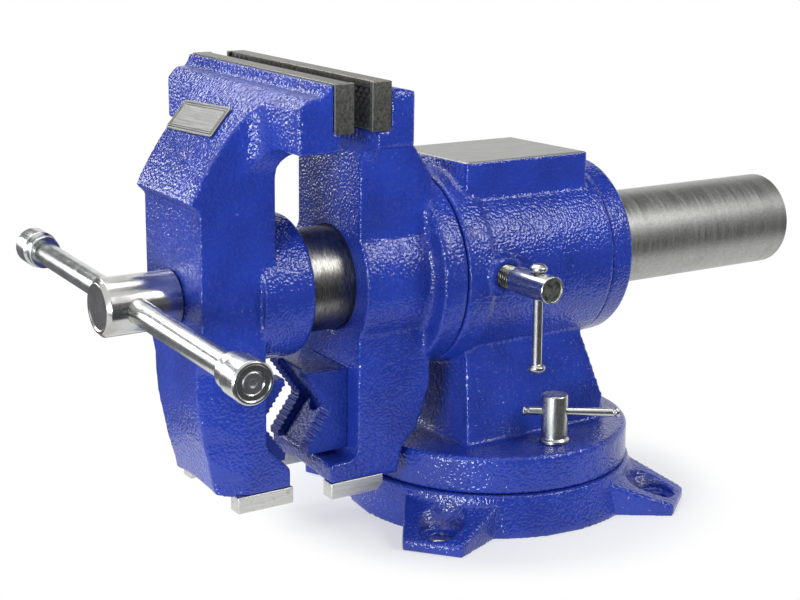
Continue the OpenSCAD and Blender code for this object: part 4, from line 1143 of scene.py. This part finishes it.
@dataclass
class JawPlate:
    """One hardened jaw plate: an eased bar with two countersunk holes and diamond serrations."""

    bench: Bench
    jaw: str
    seat: float
    grip: int
    width: float = 125.0
    height: float = 19.4
    thickness: float = 8.8
    tooth: float = 1.2
    pitch: float = 4.0
    rib: float = 2.4
    rib_root: float = 0.6
    screw_spacing: float = 75.0
    screw_d: float = 7.0
    screw_length: float = 14.5
    screw_sink: float = 1.2
    clearance: float = 0.05
    edge: float = 0.35

    def place(self, across: float = 0.0, out: float = 0.0) -> Matrix:
        """Give the frame at the seat: width along the jaw, height up, depth towards the grip.

        Args:
            across: a move along the jaw.
            out: a move towards the grip.

        Returns:
            The matrix from that frame to the part's, in millimetres.
        """
        turn = Matrix(((0, 0, self.grip, 0), (self.grip, 0, 0, 0), (0, 1, 0, 0), (0, 0, 0, 1)))
        seat = shift(self.seat, 0, JAW_RISE - self.height / 2)
        return head_space() @ seat @ turn @ shift(across, 0, out)

    def build(self, serrations: Recipe) -> None:
        """Make the bar, its holes and its serrations, and put them on the frame.

        Args:
            serrations: the tree that cuts the teeth.
        """
        steel, dark = self.bench.paints.jaw_steel, self.bench.paints.teeth
        depth, shaft = self.thickness - self.tooth, self.screw_d / 2
        bar = finished("bar", prism(rectangle(self.width, self.height, self.edge), depth, self.edge),
                       self.place(), steel)
        head = self.screw_d * HEAD_SHARE + self.clearance
        mouth = depth - self.screw_sink
        sunk = [(-1, shaft + self.clearance), (mouth - head + shaft, shaft + self.clearance),
                (mouth, head), (depth + 3, head)]
        carved(bar, *[finished("countersink", lathe(sunk, 48),
                               self.place(side * self.screw_spacing / 2), steel)
                      for side in (-1, 1)])
        # The serrations stop short of the plate's ends, which keep their full thickness
        ribs = [finished("rib", prism(rectangle(self.rib, self.height, self.edge),
                                      self.tooth + self.rib_root, self.edge),
                         self.place(side * (self.width - self.rib) / 2, depth - self.rib_root), steel)
                for side in (-1, 1)]
        columns = int((self.width - 2 * self.rib) / self.pitch) * 2 + 1
        rows = int(self.height / self.pitch) * 2
        teeth = serrations.make({
            "Width": (columns - 1) * self.pitch / 2, "Height": (rows - 1) * self.pitch / 2 + 0.01,
            "Columns": columns, "Rows": rows, "Base": self.pitch / 2, "Crest": self.pitch * 0.09,
            "Depth": self.tooth + 0.05, "Screw Spacing": self.screw_spacing,
            "Screw Clearance": head + self.pitch / 2 + 0.2, "Seed": 3 + self.grip, "Finish": dark})
        low = min(v.co.z for v in teeth.verts)
        grip = finished("grip", teeth, self.place(out=depth - 0.05 - low), dark, 20.0)
        self.bench.put(joined(f"{self.jaw}_plate_serrated", [bar, *ribs, grip]),
                       f"{self.jaw}_jaw_plate", "jaw_steel")

    def screws(self) -> ScrewRow:
        """Give the plate's two screws, their heads sunk below its serrations.

        Returns:
            The row, not built yet.
        """
        top = self.seat + self.grip * (self.thickness - self.tooth - self.screw_sink)
        points = [(top, side * self.screw_spacing / 2, JAW_RISE - self.height / 2)
                  for side in (-1, 1)]
        return ScrewRow(self.bench, f"{self.jaw}_plate_screws", self.screw_d, self.screw_length,
                        points, (0, 90 * self.grip, 0))


@dataclass
class Slide:
    """The slide tube, turned and bored, with its keyway milled along the underside."""

    bench: Bench
    outer: float = 45.4
    wall: float = 5.7
    front: float = -147.7
    tail: float = 169.9
    chamfer: float = 1.0
    bore_chamfer: float = 0.6
    keyway: Pair = (-24.0, 145.9)
    keyway_width: float = 10.0
    keyway_corner: float = 1.5

    def build(self) -> None:
        """Turn the tube and mill its keyway."""
        r, bore, paint = self.outer / 2, self.outer / 2 - self.wall, self.bench.paints.tube
        wall = rounded([(self.front, bore, 0), (self.front, r, 0), (self.tail - self.chamfer, r, 0.3),
                        (self.tail, r - self.chamfer, 0.3), (self.tail, bore + self.bore_chamfer, 0.2),
                        (self.tail - self.bore_chamfer, bore, 0)], 3, True)
        tube = finished("slide_tube_turned", lathe(wall, 192, hollow=True),
                        head_space() @ Lie.ALONG.value, paint)
        start, end = self.keyway
        slot = prism(rectangle(end - start, self.keyway_width, self.keyway_corner, 4), r)
        cutter = finished("keyway", slot, head_space() @ shift((start + end) / 2, 0, -r - 6), paint)
        self.bench.put(carved(tube, cutter), "slide_tube", "ground_steel")


@dataclass
class Spindle:
    """The spindle: a plated head with its cross hole, a plain neck and a long trapezoid thread."""

    bench: Bench
    head_d: float = 24.2
    head_face: float = -162.0
    head_length: float = 33.0
    shaft_d: float = 18.0
    tail: float = 141.9
    bar_d: float = 10.6
    pitch: float = 5.0
    thread_depth: float = 2.1
    thread_start: float = -126.0

    def build(self, thread: Recipe) -> None:
        """Turn the head and neck, roll the thread and put them on the frame.

        Args:
            thread: the thread's tree.
        """
        place, satin, zinc = head_space(SPINDLE_ROLL), self.bench.paints.satin, self.bench.paints.zinc
        along = place @ Lie.ALONG.value
        front, face, start = self.head_face - self.head_length, self.head_face, self.thread_start
        head, shaft = self.head_d / 2, self.shaft_d / 2
        core = shaft - self.thread_depth
        body = finished("spindle_head", lathe(rounded([
            (front + 0.35, 0, 0), (front + 0.35, head - 3.4, 0.6), (front, head - 2.6, 0.5),
            (front, head - 1.8, 0.5), (front + 1.8, head, 0.7), (face - 0.8, head, 0.3),
            (face, head - 0.8, 0.2), (face, shaft, 0), (start, shaft, 0.3), (start + 2.2, core, 0.2),
            (start + 4, 0, 0)]), 128), along, satin)
        carved(body, finished("cross_hole", lathe([(-20, self.bar_d / 2), (20, self.bar_d / 2)], 64),
                              place @ shift(SPINDLE_BAR_X) @ Lie.NEAR.value, satin))
        run = rolled_thread(thread, self.tail - start - 2, shaft, self.thread_depth, self.pitch,
                            along @ shift(z=start + 1), zinc)
        nose = finished("spindle_tail", lathe(rounded([
            (self.tail - 2, 0, 0), (self.tail - 2, core, 0), (self.tail - 0.8, core, 0.3),
            (self.tail, core - 0.8, 0.2), (self.tail, 0, 0)]), 64), along, zinc)
        self.bench.put(joined("spindle_turned", [body, run, nose]), "spindle", "plated_steel")


@dataclass
class Handle:
    """The sliding bar and its two pressed-on knobs, swaged at their ends."""

    bench: Bench
    bar_d: float = 10.4
    length: float = 221.0
    knob_d: float = 16.6
    knob_length: float = 16.5
    neck_share: float = 0.28
    groove: float = 0.9

    def build(self) -> None:
        """Turn the bar and both knobs."""
        place = head_space(SPINDLE_ROLL) @ shift(SPINDLE_BAR_X)
        chrome, groove = self.bench.paints.chrome, self.groove
        half, r, seat = self.length / 2, self.bar_d / 2, self.bar_d / 2 - 1
        inner = half - self.knob_length
        end = [(inner, r, 0.2), (inner, seat, 0), (half - groove, seat, 0), (half - groove, 0, 0)]
        profile = [(-h, radius, ease) for h, radius, ease in reversed(end)] + end
        bar = finished("sliding_bar", lathe(rounded(profile)), place @ Lie.FAR.value, chrome)
        # Each end is swaged over: a flat ring round a punched dimple
        swaged = [finished("swaged_end", lathe(rounded([
            (-0.2, 0, 0), (-0.2, seat, 0), (0.2, seat - 0.1, 0.15), (0.45, seat - 0.5, 0.2),
            (0.45, 1.9, 0.3), (0.15, 1.2, 0.3), (0.0, 0, 0)]), 64),
            place @ lie.value @ shift(z=half - groove), self.bench.paints.faced)
            for lie in (Lie.NEAR, Lie.FAR)]
        self.bench.put(joined("sliding_bar_swaged", [bar, *swaged]), "handle_bar", "plated_steel")
        k, length = self.knob_d / 2, self.knob_length
        neck, rim = length * self.neck_share, self.knob_d / 2 - groove
        wall = rounded([
            (0, seat + 0.05, 0), (0, rim - 0.4, 0), (0.4, rim, 0.3), (neck - 0.2, rim, 0.25),
            (neck, rim - 0.5, 0.2), (neck + 0.5, rim - 0.5, 0.2), (neck + groove + 0.3, k, 0.5),
            (length - 0.7, k, 0.4), (length, k - 0.7, 0.3), (length, k - 1.3, 0.25),
            (length - 0.4, k - 1.8, 0.3), (length - 0.4, seat + 0.4, 0.2),
            (length - 0.7, seat + 0.05, 0)], 5, True)
        for lie, node in ((Lie.NEAR, "handle_knob_near"), (Lie.FAR, "handle_knob_far")):
            knob = finished(node + "_turned", lathe(wall, 96, hollow=True),
                            place @ lie.value @ shift(z=inner), chrome)
            self.bench.put(knob, node, "plated_steel")


@dataclass
class BaseLock:
    """One clamping screw of the swivel base: a footed head with a short tommy bar."""

    bench: Bench
    letter: str
    turn: float
    reach: float = 49.0
    top: float = 35.9
    rise: float = 22.4
    head_d: float = 11.8
    shaft_d: float = 8.0
    foot_d: float = 13.8
    foot_h: float = 1.4
    bar_d: float = 3.9
    bar_z: float = 50.012
    bar_turn: float = -36.0
    bar_ends: Pair = (-14.6, 29.0)

    def build(self) -> None:
        """Turn the screw and its bar."""
        stand = turned(self.turn, "Z") @ shift(0, -self.reach, 0)
        foot, head, shaft = self.foot_d / 2, self.head_d / 2, self.shaft_d / 2
        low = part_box(f"base_lock_screw_{self.letter}")[0].z / MM
        base, collar = self.top + 0.05, self.top + 0.05 + self.foot_h
        crown, dish = self.top + self.rise - 0.05, self.top + self.rise - 0.35
        plate = self.bench.paints.zinc_plate
        screw = finished(f"base_lock_turned_{self.letter}", lathe(rounded([
            (low, 0, 0), (low, shaft - 0.8, 0), (low + 0.8, shaft, 0.2), (base, shaft, 0),
            (base, foot - 0.3, 0), (base + 0.3, foot, 0.2), (collar, foot, 0.5),
            (collar + 1.0, head + 0.1, 0.8), (crown, head, 1.0), (crown, head - 2.2, 0.5),
            (dish, 1.2, 0.5), (dish, 0, 0)])), stand, plate, 40.0)
        cross = stand @ shift(z=self.bar_z) @ turned(self.bar_turn, "Z") @ Lie.ALONG.value
        r, hole = self.bar_d / 2, self.bar_d / 2 + 0.7
        carved(screw, finished("cross_hole", lathe([(-12, hole), (12, hole)], 48),
                               shift(z=-0.6) @ cross, plate))
        self.bench.put(screw, f"base_lock_screw_{self.letter}", "plated_steel")

        def end(at: float, way: int) -> list[Corner]:
            """Give the profile of one upset end, from its tip inwards."""
            tip, groove = r + 0.35, r - 0.5
            return [(at, 0, 0), (at, tip - 0.6, 0.25), (at + way * 0.5, tip, 0.2),
                    (at + way * 1.5, tip, 0.2), (at + way * 1.8, groove, 0.15),
                    (at + way * 2.4, groove, 0.15), (at + way * 3.0, r, 0.3)]
        first, last = self.bar_ends
        bar = finished(f"base_lock_tommy_{self.letter}",
                       lathe(rounded(end(first, 1) + end(last, -1)[::-1]), 64), cross,
                       self.bench.paints.chrome)
        self.bench.put(bar, f"base_lock_bar_{self.letter}", "plated_steel")


@dataclass
class HeadLock:
    """The screw that clamps the rotating head: a long head, a bare threaded neck and a bar."""

    bench: Bench
    x: float = -26.0
    inner: float = 34.3
    lift: float = 1.4
    neck: float = 54.2
    end: float = 78.5
    head_d: float = 11.8
    thread_d: float = 10.0
    thread_depth: float = 0.85
    pitch: float = 1.5
    bar_y: float = 68.6
    bar_d: float = 5.0
    knob_d: float = 7.5
    knob_length: float = 3.6
    bar_top: float = 6.0
    bar_drop: float = 37.8

    def build(self, thread: Recipe) -> None:
        """Turn the screw, roll its thread and hang its bar.

        Args:
            thread: the thread's tree.
        """
        stand, paints = shift(self.x, 0, AXIS_HEIGHT + self.lift), self.bench.paints
        near = stand @ Lie.NEAR.value
        cross = stand @ shift(0, -self.bar_y, 0)
        r, core, end, neck = self.head_d / 2, self.thread_d / 2 - 0.8, self.end, self.neck + 0.1
        screw = finished("clamp_head", lathe(rounded([
            (self.inner, 0, 0), (self.inner, core - 0.3, 0), (self.inner + 0.5, core, 0.1),
            (neck, core, 0), (neck, r - 0.5, 0), (neck + 0.6, r, 0.3), (end - 0.3, r, 0.2),
            (end, r - 0.3, 0.15), (end, r - 0.8, 0.15), (end - 0.9, r - 1.2, 0.2),
            (end - 1.0, 0, 0)])), near, paints.chrome)
        dish = finished("clamp_dish", lathe([
            (end - 1.2, 0), (end - 1.2, r - 1.0), (end - 0.75, r - 1.0), (end - 0.85, 0)], 64),
            near, paints.skin)
        hole = self.bar_d / 2 + 0.1
        carved(screw, finished("cross_hole", lathe([(-12, hole), (12, hole)], 48), cross,
                               paints.chrome))
        run = rolled_thread(thread, self.neck - self.inner - 0.6, self.thread_d / 2,
                            self.thread_depth, self.pitch, near @ shift(z=self.inner + 0.3),
                            paints.threaded)
        self.bench.put(joined("head_clamp_screw", [screw, dish, run]), "head_lock_screw",
                       "plated_steel")
        bar, knob, long = self.bar_d / 2 - 0.4, self.knob_d / 2, self.knob_length

        def tip(at: float, way: int) -> list[Corner]:
            """Give the profile of one knob, from its tip inwards."""
            return [(at, 0, 0), (at, knob - 1.5, 0.9), (at + way * 1.5, knob, 0.9),
                    (at + way * (long - 0.9), knob, 0.6), (at + way * long, knob - 0.9, 0.3),
                    (at + way * long, bar + 0.25, 0), (at + way * (long + 0.3), bar, 0.2)]
        outline = rounded(tip(-self.bar_drop, 1) + tip(self.bar_top + long, -1)[::-1])
        self.bench.put(finished("head_clamp_bar", lathe(outline, 64), cross, paints.zinc_plate),
                       "head_lock_bar", "plated_steel")


@dataclass
class LegBlocks:
    """Two ground steel strips under a casting's legs, with every arris eased."""

    bench: Bench
    jaw: str
    start: float
    heel: Pair
    drop: float = 85.0
    length: float = 26.0
    width: float = 7.5
    height: float = 7.1
    body: float = 54.0
    edge: float = 0.3
    screw_d: float = 4.0
    screw_length: float = 12.0
    screw_shares: Pair = (0.22, 0.78)

    def build(self) -> None:
        """Make both strips."""
        high, (back, up) = -self.height, self.heel
        outline = rounded([(0, 0, 0.2), (0, high, 0.3), (self.length - back, high, 0.3),
                           (self.length, high + up, 0.3), (self.length, 0, 0.2)], 3, True)
        # The outline lies along X and Z, so the strip's depth runs across the jaw
        across = Matrix(((1, 0, 0, 0), (0, 0, -1, 0), (0, 1, 0, 0), (0, 0, 0, 1)))
        strips = []
        for side in (-1, 1):
            y = side * (self.body - self.width) / 2 + self.width / 2
            place = head_space() @ shift(self.start, y, -self.drop) @ across
            strips.append(finished("strip", prism(outline, self.width, self.edge), place,
                                   self.bench.paints.ground))
        self.bench.put(joined(f"{self.jaw}_leg_blocks_ground", strips), f"{self.jaw}_leg_blocks",
                       "bright_steel")

    def screws(self) -> ScrewRow:
        """Give the strips' four screws, driven up from below.

        Returns:
            The row, not built yet.
        """
        points = [(self.start + share * self.length, side * (self.body - self.width) / 2,
                   -self.drop - self.height) for side in (-1, 1) for share in self.screw_shares]
        return ScrewRow(self.bench, f"{self.jaw}_leg_screws", self.screw_d, self.screw_length,
                        points, (180, 0, 0))


@dataclass
class Nameplate:
    """A bare brushed plate on the brow, with a black line pressed round it twice."""

    bench: Bench
    size: Pair = (14.6, 40.0)
    thickness: float = 0.8
    middle: Corner = (-146.195, 5.2, 72.2)
    slope: float = 48.57
    turn: float = 2.8
    rise: float = 0.07

    def line(self, inset: float, width: float, place: Matrix) -> Piece:
        """Make one raised line that runs round the plate.

        Args:
            inset: its distance from the plate's edge.
            width: its width.
            place: the plate's place.

        Returns:
            The line.
        """
        def ring(inward: float, height: float) -> Ring:
            """Give the plate's outline at a height, drawn inwards."""
            w, h = (side - 2 * inward for side in self.size)
            return [Vector((x, y, height)) for x, y in rectangle(w, h, 0.5)]
        low, high = inset + width, self.rise
        rings = [ring(inset, 0), ring(inset, high), ring(low, high), ring(low, 0), ring(inset, 0)]
        return finished("line", loft(rings, capped=False), place @ shift(z=self.thickness - 0.02),
                        self.bench.paints.ink)

    def build(self) -> None:
        """Make the plate with its two lines."""
        place = (head_space() @ shift(*self.middle) @ turned(-self.slope, "Y")
                 @ turned(self.turn, "Z") @ shift(z=0.05))
        plate = finished("plate", prism(rectangle(*self.size, 1.0, 4), self.thickness, 0.12), place,
                         self.bench.paints.brushed)
        lines = [self.line(0.9, 0.45, place), self.line(1.9, 0.35, place)]
        self.bench.put(joined("bare_nameplate", [plate, *lines]), "nameplate", "bright_steel")


# Studio


@dataclass
class Studio:
    """The pale floor, the soft lights and the camera at the photograph's angle."""

    camera: Corner = (-415.14, -569.28, 263.89)
    aim: Corner = (-51.14, 0.0, 98.14)
    focal: float = 1543.32
    image_width: float = 800.0
    sensor: float = 36.0
    middle: Corner = (-20.0, 0.0, 90.0)
    board: float = 4.0
    floor_size: float = 6000.0
    floor_gap: float = 0.02
    white_from: Pair = (88.0, 120.0)

    def aimed(self, name: str, data: bpy.types.ID, at: Corner, aim: Corner) -> Piece:
        """Put a lamp or camera in its place so that it faces a point.

        Args:
            name: its name.
            data: the lamp or camera.
            at: its place, in millimetres.
            aim: the point that it faces, in millimetres.

        Returns:
            Its object.
        """
        piece = placed(name, data)
        piece.location = Vector(at) * MM
        piece.rotation_euler = (Vector(aim) - Vector(at)).to_track_quat("-Z", "Y").to_euler()
        return piece

    def lamp(self, name: str, at: Corner, size: Pair, power: float, colour: str = "ffffff") -> None:
        """Hang one rectangular soft light that faces the object's middle.

        Args:
            name: the light's name.
            at: where it hangs, in millimetres.
            size: its width and height in millimetres.
            power: its power in watts.
            colour: its colour.
        """
        data = bpy.data.lights.new(name, "AREA")
        data.shape, data.size, data.size_y = "RECTANGLE", size[0] * MM, size[1] * MM
        data.energy, data.color = power, linear(colour)[:3]
        self.aimed(name, data, at, self.middle)

    def card(self, name: str, at: Corner, size: Pair, shade: str, aim: Corner | None = None) -> None:
        """Stand a flag of one even tone beside the object, which only its gloss sees.

        Args:
            name: the card's name.
            at: its middle, in millimetres.
            size: its width and height in millimetres.
            shade: its tone.
            aim: the point that it faces, or None for the object's middle.
        """
        shader = Shader(name + "_matt_card")
        material = shader.close(shader.add(Kind.LIT_SURFACE, "000000", 1.0, 0.0, shade, 1.0))
        way = Vector(aim or self.middle) - Vector(at)
        place = shift(*at) @ way.to_track_quat("Z", "Y").to_matrix().to_4x4()
        card = finished(name, prism(rectangle(*size), self.board), place, material)
        card.visible_camera = card.visible_diffuse = card.visible_shadow = False

    def backdrop(self) -> None:
        """Make the world: white to the eye and in reflections, a soft grey light elsewhere."""
        world = bpy.data.worlds.new("studio")
        bpy.context.scene.world = world
        world.use_nodes = True
        tree = Tree(world.node_tree)
        soft, white = tree.add(Kind.SKY, "e6e9f0", 0.45), tree.add(Kind.SKY, "ffffff", 1.0)
        tree.add(Kind.TO_WORLD, tree.add(Kind.EITHER, tree.seen(), soft, white))

    def floor(self) -> None:
        """Lay the pale floor, white towards its rim, which keeps the shadow under the vise."""
        shader = Shader("matt_white_paper")
        add = shader.add
        away = add(Kind.LENGTH, shader.place)
        rim = add(Kind.SMOOTH_RAMP, away, *(v * MM for v in self.white_from), 0.5, 1.0)
        share = add(Kind.MULTIPLY, shader.seen(), rim)
        surface = add(Kind.EITHER, share, add(Kind.MATT, "f4f4f4"), add(Kind.GLOW, "ffffff", 1.0))
        slab = prism(rectangle(self.floor_size, self.floor_size), self.board)
        floor = finished("pale_floor", slab, shift(z=-self.board - self.floor_gap),
                         shader.close(surface))

    def build(self) -> None:
        """Set up camera, backdrop, floor, lights and cards."""
        data = bpy.data.cameras.new("photograph")
        data.sensor_width, data.lens = self.sensor, self.focal * self.sensor / self.image_width
        data.clip_start, data.clip_end = 0.02, 20.0
        bpy.context.scene.camera = self.aimed("photograph", data, self.camera, self.aim)
        self.backdrop()
        self.floor()
        self.lamp("key_softbox", (510, -770, 780), (440, 440), 5.3)
        self.lamp("front_softbox", (-1150, -650, 160), (500, 310), 10.5, "edf7ff")
        self.lamp("top_softbox", (-100, 200, 1300), (800, 800), 6.0)
        self.lamp("back_softbox", (-470, 880, 960), (600, 300), 4.6)
        self.lamp("back_strip", (-760, 1000, 340), (420, 340), 4.0)
        self.card("grey_card_right", (620, -920, 300), (1700, 600), "6e6e72")
        self.card("dark_card_camera", (-560, -1250, 420), (900, 1000), "2a2a2e")
        self.card("grey_floor_near", (400, -865, 3), (2000, 1470), "505054", (400, -865, 300))
        self.card("grey_floor_back", (-700, 760, 3), (1400, 1300), "77777b", (-700, 760, 300))
        self.card("dark_card_above", (800, 100, 1150), (1300, 1300), "48484c")
        self.card("grey_card_back", (-640, 1240, 560), (2000, 800), "7a7a7e")
        bpy.context.scene.view_settings.view_transform = "Standard"


def main() -> None:
    """Build the vise's sub-assemblies in order and dress what stays of the frame."""
    logging.basicConfig(level=logging.INFO, format="%(name)s: %(message)s")
    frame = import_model()
    bench = Bench(frame, Paints())
    Studio().build()
    Castings(bench).build()
    serrations, thread, screws = serration_recipe(), thread_recipe(), screw_recipe()
    plates = [JawPlate(bench, "fixed", -96.1, -1), JawPlate(bench, "front", -121.7, 1)]
    for plate in plates:
        plate.build(serrations)
    Slide(bench).build()
    Spindle(bench).build(thread)
    Handle(bench).build()
    for letter, turn in (("a", 0.0), ("b", 180.0)):
        BaseLock(bench, letter, turn).build()
    HeadLock(bench).build(thread)
    blocks = [LegBlocks(bench, "fixed", -101.9, (2.6, 2.84)),
              LegBlocks(bench, "front", -146.7, (0.5, 0.5), drop=82.2)]
    for block in blocks:
        block.build()
    Nameplate(bench).build()
    for carrier in (*plates, *blocks):
        carrier.screws().build(screws)
    paints = bench.paints
    for paint, nodes in (
            (paints.black, ("centre_bolt", "base_lock_shoes", "ring_grub_screws", "nut_screw",
                            "spindle_collar")),
            (paints.zinc, ("centre_washer", "spindle_nut", "tube_pin", "collar_pin")),
            (paints.enamel, ("fixed_pipe_jaw_screw", "front_pipe_jaw_screw")),
            (paints.brass, ("head_lock_pad",))):
        for node in nodes:
            bench.keep(node, paint)
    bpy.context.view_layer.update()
    LOG.info("%d pieces stand for CAD nodes", bench.count)


if __name__ == "__main__":
    main()
